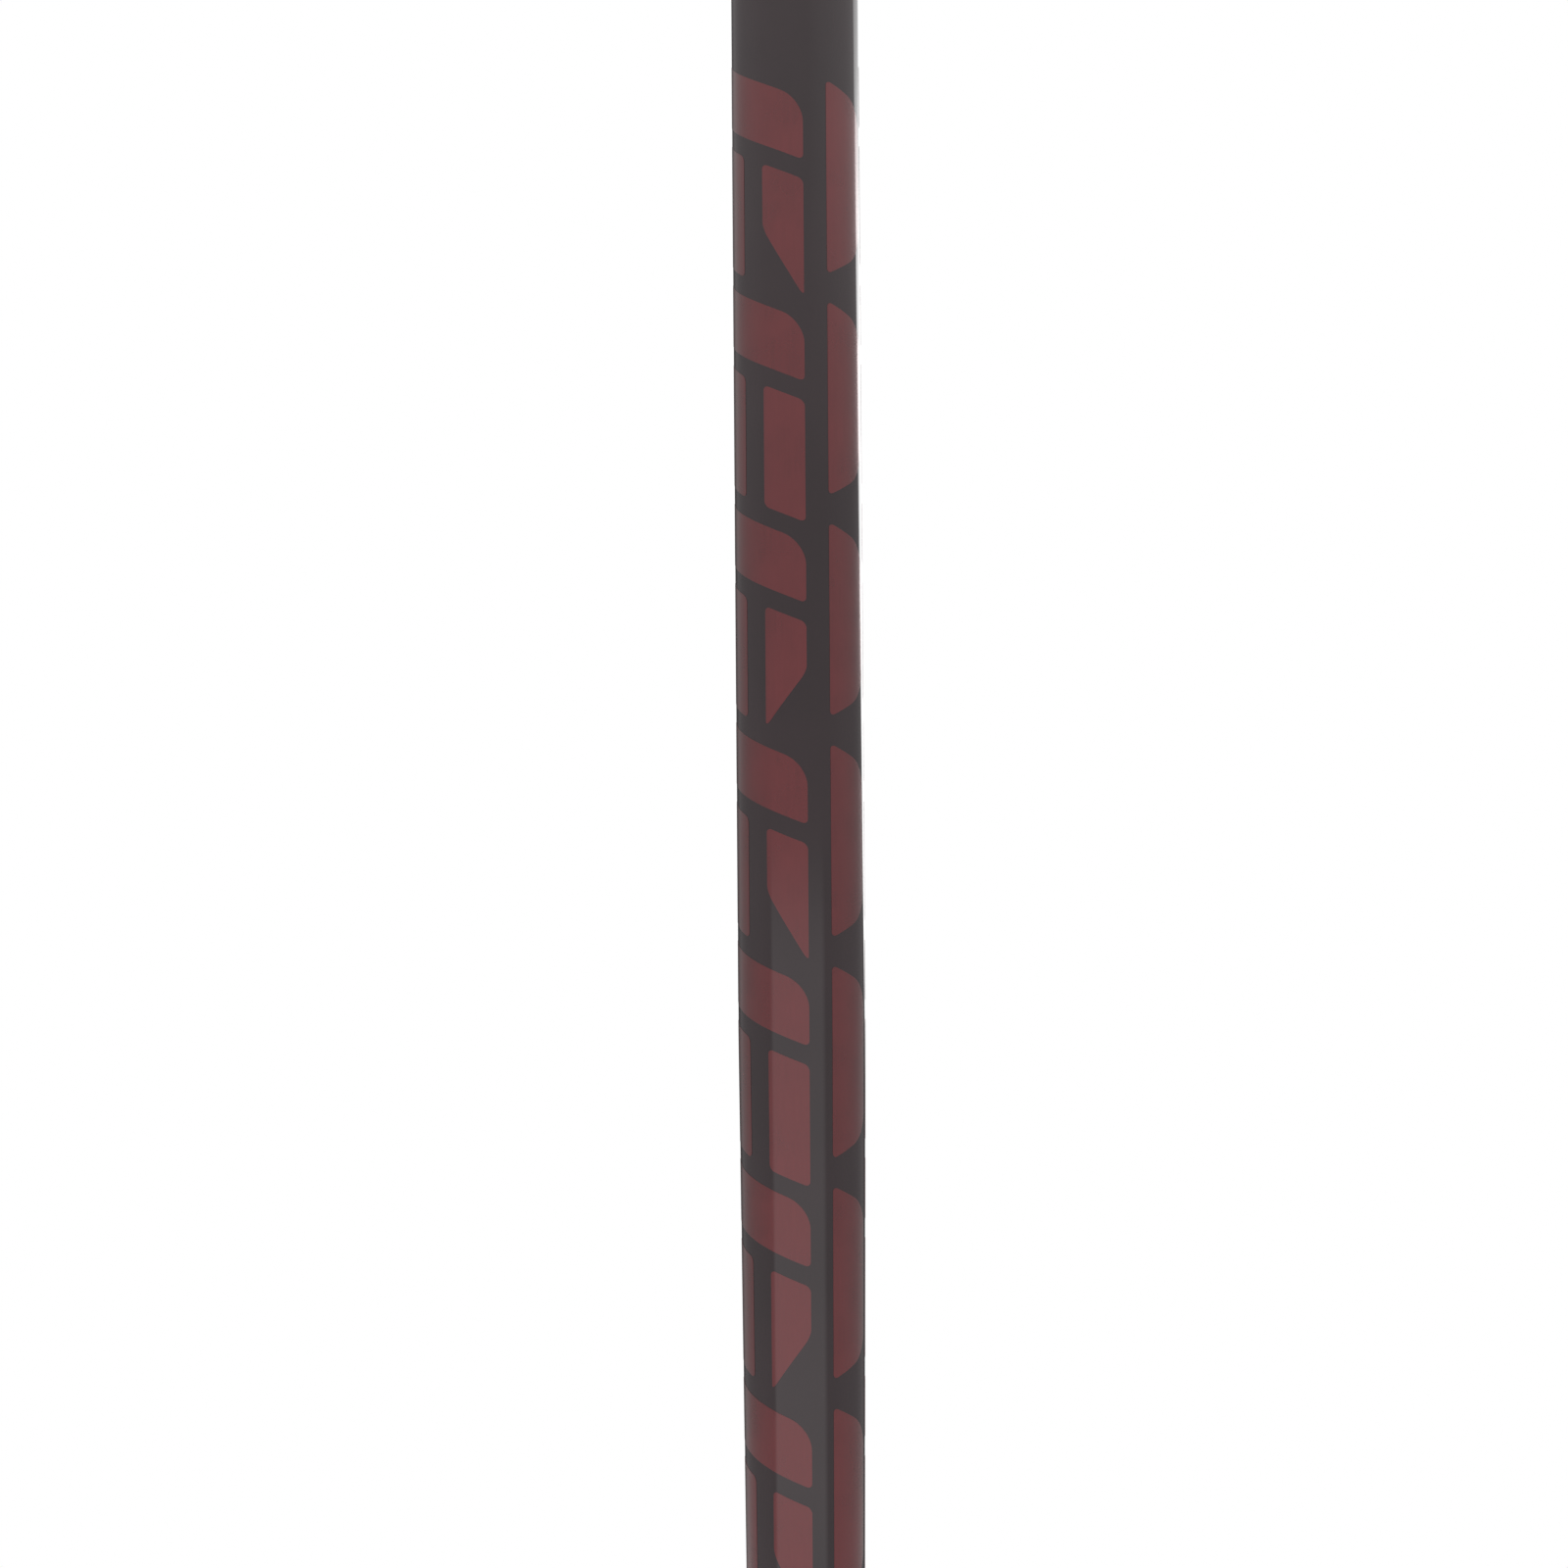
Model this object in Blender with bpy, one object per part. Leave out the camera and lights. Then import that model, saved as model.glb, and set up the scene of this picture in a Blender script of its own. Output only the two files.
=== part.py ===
"""Alpine ski pole: tapered aluminium shaft, grip with an adjustable wrist strap, basket and tip.

Metres, +Z up along the shaft, +X towards the fingers' side of the grip, -X towards the palm and the strap.
Heights are measured from the point of the tip. The empty "pole" carries every piece, and it stands so
that the frame's origin is where the hand holds the grip.
"""

import bmesh
import bpy
from math import copysign, cos, degrees, pi, radians, sin, tan
from mathutils import Vector

# ---- driving dimensions ---------------------------------------------------------------------------

FIT_GAP = 0.0003  # left between every two pieces that touch
POLE_LENGTH = 1.200
HOLD_HEIGHT = 1.118  # where the hand's middle is on the grip

SHAFT_RADIUS = 0.0090
SHAFT_WALL = 0.0011
SHAFT_TOP = 1.1600
TAPER_TOP = 0.586
SHAFT_FOOT = 0.0840
SHAFT_FOOT_RADIUS = 0.0050
PLUG_DEPTH = 0.0220
PLUG_HEAD = 0.0026

CROWN_RADIUS = 0.0037
CROWN_DISH = 0.0019
CROWN_TEETH = 8
CROWN_NOTCH_HALF = 0.0010
CROWN_NOTCH_DEPTH = 0.0010
SHANK_RADIUS = 0.0030
SHANK_TOP = 0.0358
FERRULE_FOOT = 0.0110
FERRULE_TOP = 0.1260
FERRULE_WALL = 0.0016
SEAT_RADIUS = 0.0082
SEAT_FOOT = 0.0507
SEAT_TOP = 0.0672
CLIP_GROOVE_DEPTH = 0.0012
CLIP_HEIGHT = 0.0016
CLIP_WIDTH = 0.0024
CLIP_HALF_OPENING = radians(20)
FIRST_RIB = 0.0790
RIB_COUNT = 5
RIB_PITCH = 0.0060
RIB_RISE = 0.0007

BASKET_RADIUS = 0.0300
BASKET_SPOKES = 6
WINDOW_INNER = 0.0190
WINDOW_OUTER = 0.0258
SPOKE_HALF_ANGLE = radians(8)
RIM_NOTCH_RADIUS = 0.0040
RIM_NOTCH_DEPTH = 0.0014
HUB_WALL = 0.0028
HUB_FLANGE = 0.0030
FLANGE_FOOT = 0.0575
FLANGE_TOP = 0.0595

COLLAR_FOOT = 1.0600
COLLAR_TOP = 1.0709
COLLAR_RIM = 0.0128
CORE_TUBE_WALL = 0.0021
SLEEVE_TOP = 1.1600
HEAD_TOP = 1.1905
GRIP_EDGE = 0.0008
GRIP_SQUARENESS = 2.3  # 2 would be an ellipse
FIRST_FINGER = 1.0780
FINGER_COUNT = 4
FINGER_PITCH = 0.0200
FINGER_DEPTH = 0.0012
PALM_PAD_FOOT = 1.0900
PALM_PAD_TOP = 1.1480
PALM_PAD_HALF_ANGLE = radians(46)
PALM_PAD_DEPTH = 0.0016
INLAY_HALF_LENGTH = 0.0158
INLAY_HALF_WIDTH = 0.0064
INLAY_THICKNESS = 0.0014
SCREW_X = 0.0130
SCREW_FOOT = 1.1830
SCREW_HEAD_RADIUS = 0.0025
SCREW_HEAD_DEPTH = 0.0020

STRAP_WIDTH = 0.0200
STRAP_THICKNESS = 0.0016
LAYER_GAP = 0.0004
SLOT_FLOOR = 1.1710
SLOT_HALF_WIDTH = STRAP_WIDTH / 2 + 0.0006
STRAP_PIN_RADIUS = 0.0020
STRAP_PIN_X = 0.0020
STRAP_PIN_HALF_LENGTH = 0.0150
WEDGE_ANGLE = radians(13)
WEDGE_NOSE_RADIUS = 0.0019
WEDGE_NOSE_X = -0.0082
WEDGE_BACK_X = -0.0255
WEDGE_RIDGES = 3
MOUTH_X = -0.0262
BEND_X = -0.0270  # the strap's legs turn down round a point here
INNER_BEND_RADIUS = 0.0080
STRAP_HINGE_HEIGHT = 1.1500
LOOP_OPENS = 1.0920  # the two legs part below this
KEEPER_TOP = 1.1440
KEEPER_HEIGHT = 0.0090
KEEPER_WALL = 0.0018
KEEPER_SQUARENESS = 12.0
TAIL_FOOT = 1.1150
TAB_LENGTH = 0.0120
PAD_THICKNESS = 0.0030
PAD_WIDTH = 0.0280
PAD_TOP = 1.0450

ROUND = 36  # sides of a large round piece
SMALL_ROUND = 20
SHARP_ANGLE = radians(35)

# ---- sizes that follow ----------------------------------------------------------------------------

HUB_BORE = SEAT_RADIUS + FIT_GAP
HUB_RADIUS = HUB_BORE + HUB_WALL
INLAY_TOP = POLE_LENGTH - 0.0002
INLAY_FOOT = INLAY_TOP - INLAY_THICKNESS
SCREW_HEAD_TOP = INLAY_FOOT - FIT_GAP - 0.0002
SCREW_HEAD_FOOT = SCREW_HEAD_TOP - SCREW_HEAD_DEPTH
CORE_BORE_RADIUS = SHAFT_RADIUS + FIT_GAP
CORE_TUBE_RADIUS = CORE_BORE_RADIUS + CORE_TUBE_WALL
FIXED_LEG_HEIGHT = SLOT_FLOOR + FIT_GAP + STRAP_THICKNESS / 2
LIVE_LEG_HEIGHT = FIXED_LEG_HEIGHT + STRAP_THICKNESS + LAYER_GAP
WEDGE_FOOT = LIVE_LEG_HEIGHT + STRAP_THICKNESS / 2 + FIT_GAP
WEDGE_NOSE_HEIGHT = WEDGE_FOOT + WEDGE_NOSE_RADIUS
STRAP_EYE_RADIUS = STRAP_PIN_RADIUS + FIT_GAP + STRAP_THICKNESS / 2
STRAP_PIN_HEIGHT = FIXED_LEG_HEIGHT + STRAP_EYE_RADIUS
LEG_PITCH = STRAP_THICKNESS + LAYER_GAP
FIXED_LEG_X = BEND_X - INNER_BEND_RADIUS
LIVE_LEG_X = FIXED_LEG_X - LEG_PITCH
TAIL_X = LIVE_LEG_X - LEG_PITCH
STRAP_HINGE_X = TAIL_X - STRAP_THICKNESS / 2 - FIT_GAP / 2

# The grip's outline at a few heights: (height, reach back, reach front, half width).
GRIP_OUTLINE = [
    (1.0600, 0.0128, 0.0128, 0.0128),
    (1.0712, 0.0134, 0.0134, 0.0132),
    (1.0830, 0.0145, 0.0144, 0.0138),
    (1.0980, 0.0161, 0.0151, 0.0144),
    (1.1150, 0.0171, 0.0154, 0.0148),
    (1.1330, 0.0167, 0.0154, 0.0147),
    (1.1480, 0.0156, 0.0158, 0.0143),
    (1.1600, 0.0160, 0.0178, 0.0144),
    (1.1680, 0.0196, 0.0206, 0.0152),
    (1.1760, 0.0242, 0.0232, 0.0158),
    (1.1840, 0.0262, 0.0248, 0.0160),
    (1.1905, 0.0260, 0.0248, 0.0157),
    (1.1945, 0.0246, 0.0236, 0.0146),
    (1.1980, 0.0216, 0.0208, 0.0122),
    (1.2000, 0.0180, 0.0172, 0.0094),
]


# ---- finishes: colour, roughness and metallic value -----------------------------------------------

SATIN_BLACK_PAINT = ((0.016, 0.015, 0.016), 0.28, 0.2)
BLACK_PLASTIC = ((0.020, 0.020, 0.021), 0.45, 0.0)
SOFT_GRIP_RUBBER = ((0.028, 0.027, 0.028), 0.75, 0.0)
BASKET_RUBBER = ((0.018, 0.018, 0.019), 0.60, 0.0)
DARK_RED_PLASTIC = ((0.110, 0.016, 0.020), 0.42, 0.0)
WOVEN_WEBBING = ((0.030, 0.029, 0.031), 0.90, 0.0)
GROUND_STEEL = ((0.560, 0.555, 0.545), 0.30, 1.0)


# ---- making solids --------------------------------------------------------------------------------


def paint(name, finish):
    """A Principled material of the given finish."""
    colour, roughness, metallic = finish
    material = bpy.data.materials.new(name)
    material.use_nodes = True
    shader = material.node_tree.nodes["Principled BSDF"]
    shader.inputs["Base Color"].default_value = (*colour, 1.0)
    shader.inputs["Roughness"].default_value = roughness
    shader.inputs["Metallic"].default_value = metallic
    material.diffuse_color = (*colour, 1.0)
    return material


def add_piece(mesh, finish, pole, origin=(0, 0, 0)):
    """Puts a mesh that is drawn in the pole's own frame into the scene, with its object's origin moved."""
    for vertex in mesh.vertices:
        vertex.co -= Vector(origin)
    mesh.materials.append(paint(mesh.name, finish))
    mesh.shade_smooth()
    mesh.set_sharp_from_angle(angle=SHARP_ANGLE)
    piece = bpy.data.objects.new(mesh.name, mesh)
    bpy.context.scene.collection.objects.link(piece)
    piece.parent = pole
    piece.location = origin
    return piece


def finished(bm, name):
    """The mesh made from a closed bmesh, facing outwards and in triangles."""
    bmesh.ops.recalc_face_normals(bm, faces=bm.faces)
    bmesh.ops.triangulate(bm, faces=bm.faces)
    mesh = bpy.data.meshes.new(name)
    bm.to_mesh(mesh)
    bm.free()
    return mesh


def skin(name, rings, hollow=False):
    """A closed mesh over rings of as many points each. A hollow one joins its last ring to its first."""
    bm = bmesh.new()
    loops = [[bm.verts.new(point) for point in ring] for ring in rings]
    pairs = list(zip(loops, loops[1:]))
    if hollow:
        pairs.append((loops[-1], loops[0]))
    else:
        bm.faces.new(loops[0])
        bm.faces.new(loops[-1])
    count = len(rings[0])
    for low, high in pairs:
        for i in range(count):
            j = (i + 1) % count
            bm.faces.new((low[i], low[j], high[j], high[i]))
    return finished(bm, name)


def circle(radius, height, sides=ROUND):
    turns = [2 * pi * i / sides for i in range(sides)]
    return [(radius * cos(turn), radius * sin(turn), height) for turn in turns]


def turned(name, outline, sides=ROUND, hollow=False, centre=(0, 0)):
    """A round solid: an outline of (radius, height) points spun about a vertical axis through centre."""
    bm = bmesh.new()
    corners = [bm.verts.new((radius, 0, height)) for radius, height in outline]
    pairs = list(zip(corners, corners[1:]))
    if hollow:
        pairs.append((corners[-1], corners[0]))
    edges = [bm.edges.new(pair) for pair in pairs]
    bmesh.ops.spin(
        bm, geom=corners + edges, axis=(0, 0, 1), cent=(0, 0, 0), angle=2 * pi, steps=sides, use_merge=True
    )
    if not hollow:
        bmesh.ops.holes_fill(bm, edges=bm.edges, sides=sides)
    bmesh.ops.translate(bm, verts=bm.verts, vec=(*centre, 0))
    return finished(bm, name)


def arc(centre, radius, start, end, steps):
    """Points (x, z) along an arc, from one angle to another, in degrees."""
    angles = [radians(start + (end - start) * i / steps) for i in range(steps + 1)]
    return [(centre[0] + radius * cos(a), centre[1] + radius * sin(a)) for a in angles]


def smooth_through(points, steps):
    """Points on a Catmull-Rom curve that passes through each of the given ones, with steps between two."""
    points = [Vector(p) for p in points]
    ends = [2 * points[0] - points[1], *points, 2 * points[-1] - points[-2]]
    curve = []
    for a, b, c, d in zip(ends, ends[1:], ends[2:], ends[3:]):
        for i in range(steps):
            t = i / steps
            curve.append(
                0.5
                * (
                    2 * b
                    + (c - a) * t
                    + (2 * a - 5 * b + 4 * c - d) * t**2
                    + (3 * b - a - 3 * c + d) * t**3
                )
            )
    return [tuple(p) for p in curve] + [tuple(points[-1])]


def ribbon(name, route, thickness=STRAP_THICKNESS, width=STRAP_WIDTH, inset=0.0):
    """A flat band that follows a route of (x, z) points. Inset moves it to the left of its direction."""
    rings = []
    for i, here in enumerate(route):
        before, after = route[max(i - 1, 0)], route[min(i + 1, len(route) - 1)]
        along = Vector((after[0] - before[0], after[1] - before[1])).normalized()
        left = Vector((-along.y, along.x))
        middle = Vector(here) + left * inset
        near, far = middle + left * thickness / 2, middle - left * thickness / 2
        half = width / 2
        rings.append(
            [(p.x, y, p.y) for p, y in ((near, -half), (near, half), (far, half), (far, -half))]
        )
    return skin(name, rings)


def prism(name, outline, half_width):
    """An outline of (x, z) points, extruded along Y to both sides."""
    return skin(name, [[(x, y, z) for x, z in outline] for y in (-half_width, half_width)])


def cut(piece, cutters, pole):
    """Takes the cutters' meshes out of a piece. They stay as hidden helpers."""
    for mesh in cutters:
        cutter = bpy.data.objects.new(mesh.name, mesh)
        bpy.context.scene.collection.objects.link(cutter)
        cutter.parent = pole
        cutter.hide_render = True
        cutter.display_type = "WIRE"
        modifier = piece.modifiers.new(mesh.name, "BOOLEAN")
        modifier.operation = "DIFFERENCE"
        modifier.solver = "EXACT"
        modifier.object = cutter


# ---- shaft ----------------------------------------------------------------------------------------


def shaft_radius(height):
    """Outer radius of the shaft: straight above TAPER_TOP, and a long cone below it."""
    share = max(0.0, (TAPER_TOP - height) / (TAPER_TOP - SHAFT_FOOT))
    return SHAFT_RADIUS - share * (SHAFT_RADIUS - SHAFT_FOOT_RADIUS)


def make_shaft(pole):
    heights = (SHAFT_FOOT, TAPER_TOP, SHAFT_TOP)
    outer = [(shaft_radius(h), h) for h in heights]
    inner = [(shaft_radius(h) - SHAFT_WALL, h) for h in reversed(heights)]
    add_piece(turned("shaft_tube", outer + inner, hollow=True), SATIN_BLACK_PAINT, pole)


def make_shaft_plug(pole):
    """The stopper in the shaft's upper end, with a head that rests on the tube's rim."""
    body = SHAFT_RADIUS - SHAFT_WALL - FIT_GAP
    head = SHAFT_RADIUS - 0.0004
    foot, head_foot = SHAFT_TOP - PLUG_DEPTH, SHAFT_TOP + FIT_GAP
    outline = [
        (body - 0.0012, foot),
        (body, foot + 0.0020),
        (body, head_foot),
        (head, head_foot),
        (head - 0.0004, head_foot + PLUG_HEAD),
    ]
    add_piece(turned("shaft_plug", outline), BLACK_PLASTIC, pole)


# ---- ferrule, tip and basket ----------------------------------------------------------------------


def rib_outline(foot, wall):
    """One raised ring on the ferrule's sleeve, from its foot up."""
    return [
        (wall, foot),
        (wall + RIB_RISE, foot + 0.0006),
        (wall + RIB_RISE, foot + 0.0024),
        (wall - 0.0001, foot + 0.0030),
    ]


def make_ferrule(pole):
    """The moulded foot: a cone for the tip, a seat for the basket and a ribbed sleeve for the shaft."""
    groove_foot = SEAT_FOOT - CLIP_HEIGHT - 2 * FIT_GAP
    groove = SEAT_RADIUS - CLIP_GROOVE_DEPTH
    sleeve_foot_radius = SEAT_RADIUS + 0.0014
    sleeve_top_radius = shaft_radius(FERRULE_TOP) + FIT_GAP + FERRULE_WALL
    slope = (sleeve_foot_radius - sleeve_top_radius) / (FERRULE_TOP - SEAT_TOP)
    outer = [
        (0.0047, FERRULE_FOOT),
        (0.0053, FERRULE_FOOT + 0.0008),
        (0.0066, 0.0260),
        (0.0076, 0.0400),
        (SEAT_RADIUS, groove_foot - 0.0030),
        (SEAT_RADIUS, groove_foot),
        (groove, groove_foot),
        (groove, SEAT_FOOT),
        (SEAT_RADIUS, SEAT_FOOT),
        (SEAT_RADIUS, SEAT_TOP),
        (SEAT_RADIUS + 0.0030, SEAT_TOP),
        (SEAT_RADIUS + 0.0030, SEAT_TOP + 0.0022),
        (SEAT_RADIUS + 0.0016, SEAT_TOP + 0.0036),
    ]
    for i in range(RIB_COUNT):
        foot = FIRST_RIB + i * RIB_PITCH
        outer += rib_outline(foot, sleeve_foot_radius - slope * (foot - SEAT_TOP))
    outer += [(sleeve_top_radius, FERRULE_TOP - 0.0012), (sleeve_top_radius - 0.0008, FERRULE_TOP)]
    bore = [
        (shaft_radius(FERRULE_TOP) + FIT_GAP, FERRULE_TOP),
        (shaft_radius(SHAFT_FOOT) + FIT_GAP, SHAFT_FOOT - FIT_GAP),
    ]
    ferrule = add_piece(turned("ferrule", outer + bore), BLACK_PLASTIC, pole)
    hole = SHANK_RADIUS + FIT_GAP
    shank_hole = [(hole, FERRULE_FOOT - 0.0040), (hole, SHANK_TOP + 0.0007)]
    cut(ferrule, [turned("shank_hole", shank_hole, SMALL_ROUND)], pole)


def crown_notch(turn):
    """A V-shaped groove across the crown's rim, as three lines that run outwards."""
    out = Vector((cos(turn), sin(turn), 0))
    across = Vector((-sin(turn), cos(turn), 0)) * CROWN_NOTCH_HALF
    below = Vector((0, 0, -0.0005))
    peak = Vector((0, 0, CROWN_NOTCH_DEPTH))
    section = [below - across, below + across, peak]
    return [[out * reach + corner for corner in section] for reach in (0.0021, 0.0050)]


def make_tip(pole):
    """The hardened tip: a hollow crown with eight teeth, on a plain shank that sits in the ferrule."""
    shoulder = FERRULE_FOOT - FIT_GAP
    outline = [
        (0.0016, CROWN_DISH),
        (0.0029, 0.0),
        (CROWN_RADIUS - 0.0002, 0.0),
        (CROWN_RADIUS, 0.0003),
        (CROWN_RADIUS, 0.0072),
        (CROWN_RADIUS - 0.0005, shoulder),
        (SHANK_RADIUS, shoulder),
        (SHANK_RADIUS, SHANK_TOP - 0.0008),
        (SHANK_RADIUS - 0.0006, SHANK_TOP),
    ]
    tip = add_piece(turned("tip_insert", outline, 4 * CROWN_TEETH), GROUND_STEEL, pole)
    turns = [2 * pi * (i + 0.5) / CROWN_TEETH for i in range(CROWN_TEETH)]
    cut(tip, [skin(f"crown_notch_{i + 1}", crown_notch(turn)) for i, turn in enumerate(turns)], pole)


def sector(name, inner, outer, turn, half_angle, low, high, steps=5):
    """A level slab over part of a ring, between two radii, centred on the angle turn."""
    angles = [turn - half_angle + 2 * half_angle * i / steps for i in range(steps + 1)]
    plan = [(outer * cos(a), outer * sin(a)) for a in angles]
    plan += [(inner * cos(a), inner * sin(a)) for a in reversed(angles)]
    return skin(name, [[(x, y, z) for x, y in plan] for z in (low, high)])


def make_basket_clip(pole):
    """The open spring ring in the ferrule's groove that keeps the basket on."""
    inner = SEAT_RADIUS - CLIP_GROOVE_DEPTH + FIT_GAP
    low = SEAT_FOOT - CLIP_HEIGHT - FIT_GAP
    half_ring = pi - CLIP_HALF_OPENING
    ring = sector("basket_clip", inner, inner + CLIP_WIDTH, 0, half_ring, low, low + CLIP_HEIGHT, 28)
    add_piece(ring, GROUND_STEEL, pole)


def make_basket_hub(pole, turning_centre):
    """The basket's hard hub, which turns on the ferrule's seat and has a flange that the disc grips."""
    low, high = SEAT_FOOT + FIT_GAP, SEAT_TOP - FIT_GAP
    outline = [
        (HUB_BORE, low),
        (HUB_RADIUS - 0.0006, low),
        (HUB_RADIUS, low + 0.0006),
        (HUB_RADIUS, FLANGE_FOOT),
        (HUB_RADIUS + HUB_FLANGE, FLANGE_FOOT),
        (HUB_RADIUS + HUB_FLANGE, FLANGE_TOP),
        (HUB_RADIUS, FLANGE_TOP),
        (HUB_RADIUS, high - 0.0006),
        (HUB_RADIUS - 0.0006, high),
        (HUB_BORE, high),
    ]
    add_piece(turned("basket_hub", outline, hollow=True), BLACK_PLASTIC, pole, turning_centre)


def make_basket_disc(pole, turning_centre):
    """The basket's soft disc: a dished rim on six spokes, with a notch in the rim at the end of each."""
    inner = HUB_RADIUS + FIT_GAP
    flange = HUB_RADIUS + HUB_FLANGE + FIT_GAP
    outline = [
        (inner, 0.0540),
        (0.0168, 0.0540),
        (0.0180, 0.0550),
        (WINDOW_OUTER, 0.0541),
        (WINDOW_OUTER + 0.0008, 0.0527),
        (BASKET_RADIUS - 0.0008, 0.0522),
        (BASKET_RADIUS, 0.0530),
        (BASKET_RADIUS - 0.0002, 0.0556),
        (WINDOW_OUTER + 0.0010, 0.0573),
        (0.0184, 0.0584),
        (0.0168, 0.0622),
        (0.0156, 0.0634),
        (inner, 0.0634),
        (inner, FLANGE_TOP + FIT_GAP),
        (flange, FLANGE_TOP + FIT_GAP),
        (flange, FLANGE_FOOT - FIT_GAP),
        (inner, FLANGE_FOOT - FIT_GAP),
    ]
    mesh = turned("basket_disc", outline, 6 * BASKET_SPOKES, hollow=True)
    disc = add_piece(mesh, BASKET_RUBBER, pole, turning_centre)
    low, high = 0.0500, 0.0620
    half_window = pi / BASKET_SPOKES - SPOKE_HALF_ANGLE
    for i in range(BASKET_SPOKES):
        spoke = 2 * pi * i / BASKET_SPOKES
        window = spoke + pi / BASKET_SPOKES
        reach = BASKET_RADIUS + RIM_NOTCH_RADIUS - RIM_NOTCH_DEPTH
        centre = (reach * cos(spoke), reach * sin(spoke))
        notch = [(RIM_NOTCH_RADIUS, low), (RIM_NOTCH_RADIUS, high)]
        cutters = [
            sector(f"window_{i + 1}", WINDOW_INNER, WINDOW_OUTER, window, half_window, low, high),
            turned(f"rim_notch_{i + 1}", notch, SMALL_ROUND, centre=centre),
        ]
        cut(disc, cutters, pole)


def make_basket(pole):
    turning_centre = (0, 0, (SEAT_FOOT + SEAT_TOP) / 2)
    make_basket_hub(pole, turning_centre)
    make_basket_disc(pole, turning_centre)


# ---- grip -----------------------------------------------------------------------------------------


def grip_reach(height):
    """(back, front, half width) of the grip at a height, on smooth curves through GRIP_OUTLINE."""
    rows = GRIP_OUTLINE
    i = max(0, min(len(rows) - 2, sum(row[0] <= height for row in rows) - 1))
    before, low, high, after = rows[max(i - 1, 0)], rows[i], rows[i + 1], rows[min(i + 2, len(rows) - 1)]
    step = high[0] - low[0]
    t = (height - low[0]) / step
    reach = []
    for k in (1, 2, 3):
        low_slope = (high[k] - before[k]) / (high[0] - before[0]) * step
        high_slope = (after[k] - low[k]) / (after[0] - low[0]) * step
        reach.append(
            low[k] * (2 * t**3 - 3 * t**2 + 1)
            + low_slope * (t**3 - 2 * t**2 + t)
            + high[k] * (3 * t**2 - 2 * t**3)
            + high_slope * (t**3 - t**2)
        )
    return reach


def finger_dip(height):
    """How far the front of the handle dips between its finger ridges."""
    if not FIRST_FINGER < height < FIRST_FINGER + FINGER_COUNT * FINGER_PITCH:
        return 0.0
    return FINGER_DEPTH * (1 - cos(2 * pi * (height - FIRST_FINGER) / FINGER_PITCH)) / 2


def rounded(turn, squareness):
    """A point on a unit superellipse."""
    c, s = cos(turn), sin(turn)
    return copysign(abs(c) ** (2 / squareness), c), copysign(abs(s) ** (2 / squareness), s)


def grip_point(turn, height, inset=0.0):
    """A point on the grip's outer surface. Angle 0 is the front and pi the back."""
    back, front, half_width = grip_reach(height)
    reach = front - finger_dip(height) if cos(turn) >= 0 else back
    x, y = rounded(turn, GRIP_SQUARENESS)
    return (reach - inset) * x, (half_width - inset) * y, height


def grip_ring(height, inset=0.0):
    return [grip_point(2 * pi * i / ROUND, height, inset) for i in range(ROUND)]


def palm_slab(name, outset, depth, margin=0.0):
    """A curved slab in the back of the handle, from outset above its surface to depth below it."""
    columns, rows = 10, 9
    half_angle = PALM_PAD_HALF_ANGLE + margin / GRIP_OUTLINE[4][1]
    low, high = PALM_PAD_FOOT - margin, PALM_PAD_TOP + margin
    turns = [pi + half_angle * (2 * i / columns - 1) for i in range(columns + 1)]
    rings = []
    for j in range(rows + 1):
        height = low + (high - low) * j / rows
        outer = [grip_point(turn, height, -outset) for turn in turns]
        inner = [grip_point(turn, height, depth + margin) for turn in reversed(turns)]
        rings.append(outer + inner)
    return skin(name, rings)


def wedge_slope(offset):
    """Where the wedge's sloping top, moved out by offset, leaves the nose, and its height at any other x."""
    radius = WEDGE_NOSE_RADIUS + offset
    x = WEDGE_NOSE_X - radius * sin(WEDGE_ANGLE)
    z = WEDGE_NOSE_HEIGHT + radius * cos(WEDGE_ANGLE)

    def height_at(other_x):
        return z + (x - other_x) * tan(WEDGE_ANGLE)

    return (x, z), height_at


def wedge_nose(offset, steps):
    """The round nose of the wedge, moved out by offset, from its flat bottom to its sloping top."""
    centre = (WEDGE_NOSE_X, WEDGE_NOSE_HEIGHT)
    return arc(centre, WEDGE_NOSE_RADIUS + offset, -90, 90 + degrees(WEDGE_ANGLE), steps)


def slot_outline():
    """The strap's slot in the head, from the side: a flat floor and a ceiling that rises to the mouth."""
    start, height_at = wedge_slope(2 * FIT_GAP + STRAP_THICKNESS)
    inner_end = STRAP_PIN_X + STRAP_EYE_RADIUS + STRAP_THICKNESS / 2 + 0.0004
    beyond = MOUTH_X - 0.0200
    return [
        (beyond, SLOT_FLOOR),
        (inner_end, SLOT_FLOOR),
        (inner_end, start[1] - 0.0010),
        (inner_end - 0.0012, start[1]),
        start,
        (beyond, height_at(beyond)),
    ]


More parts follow.
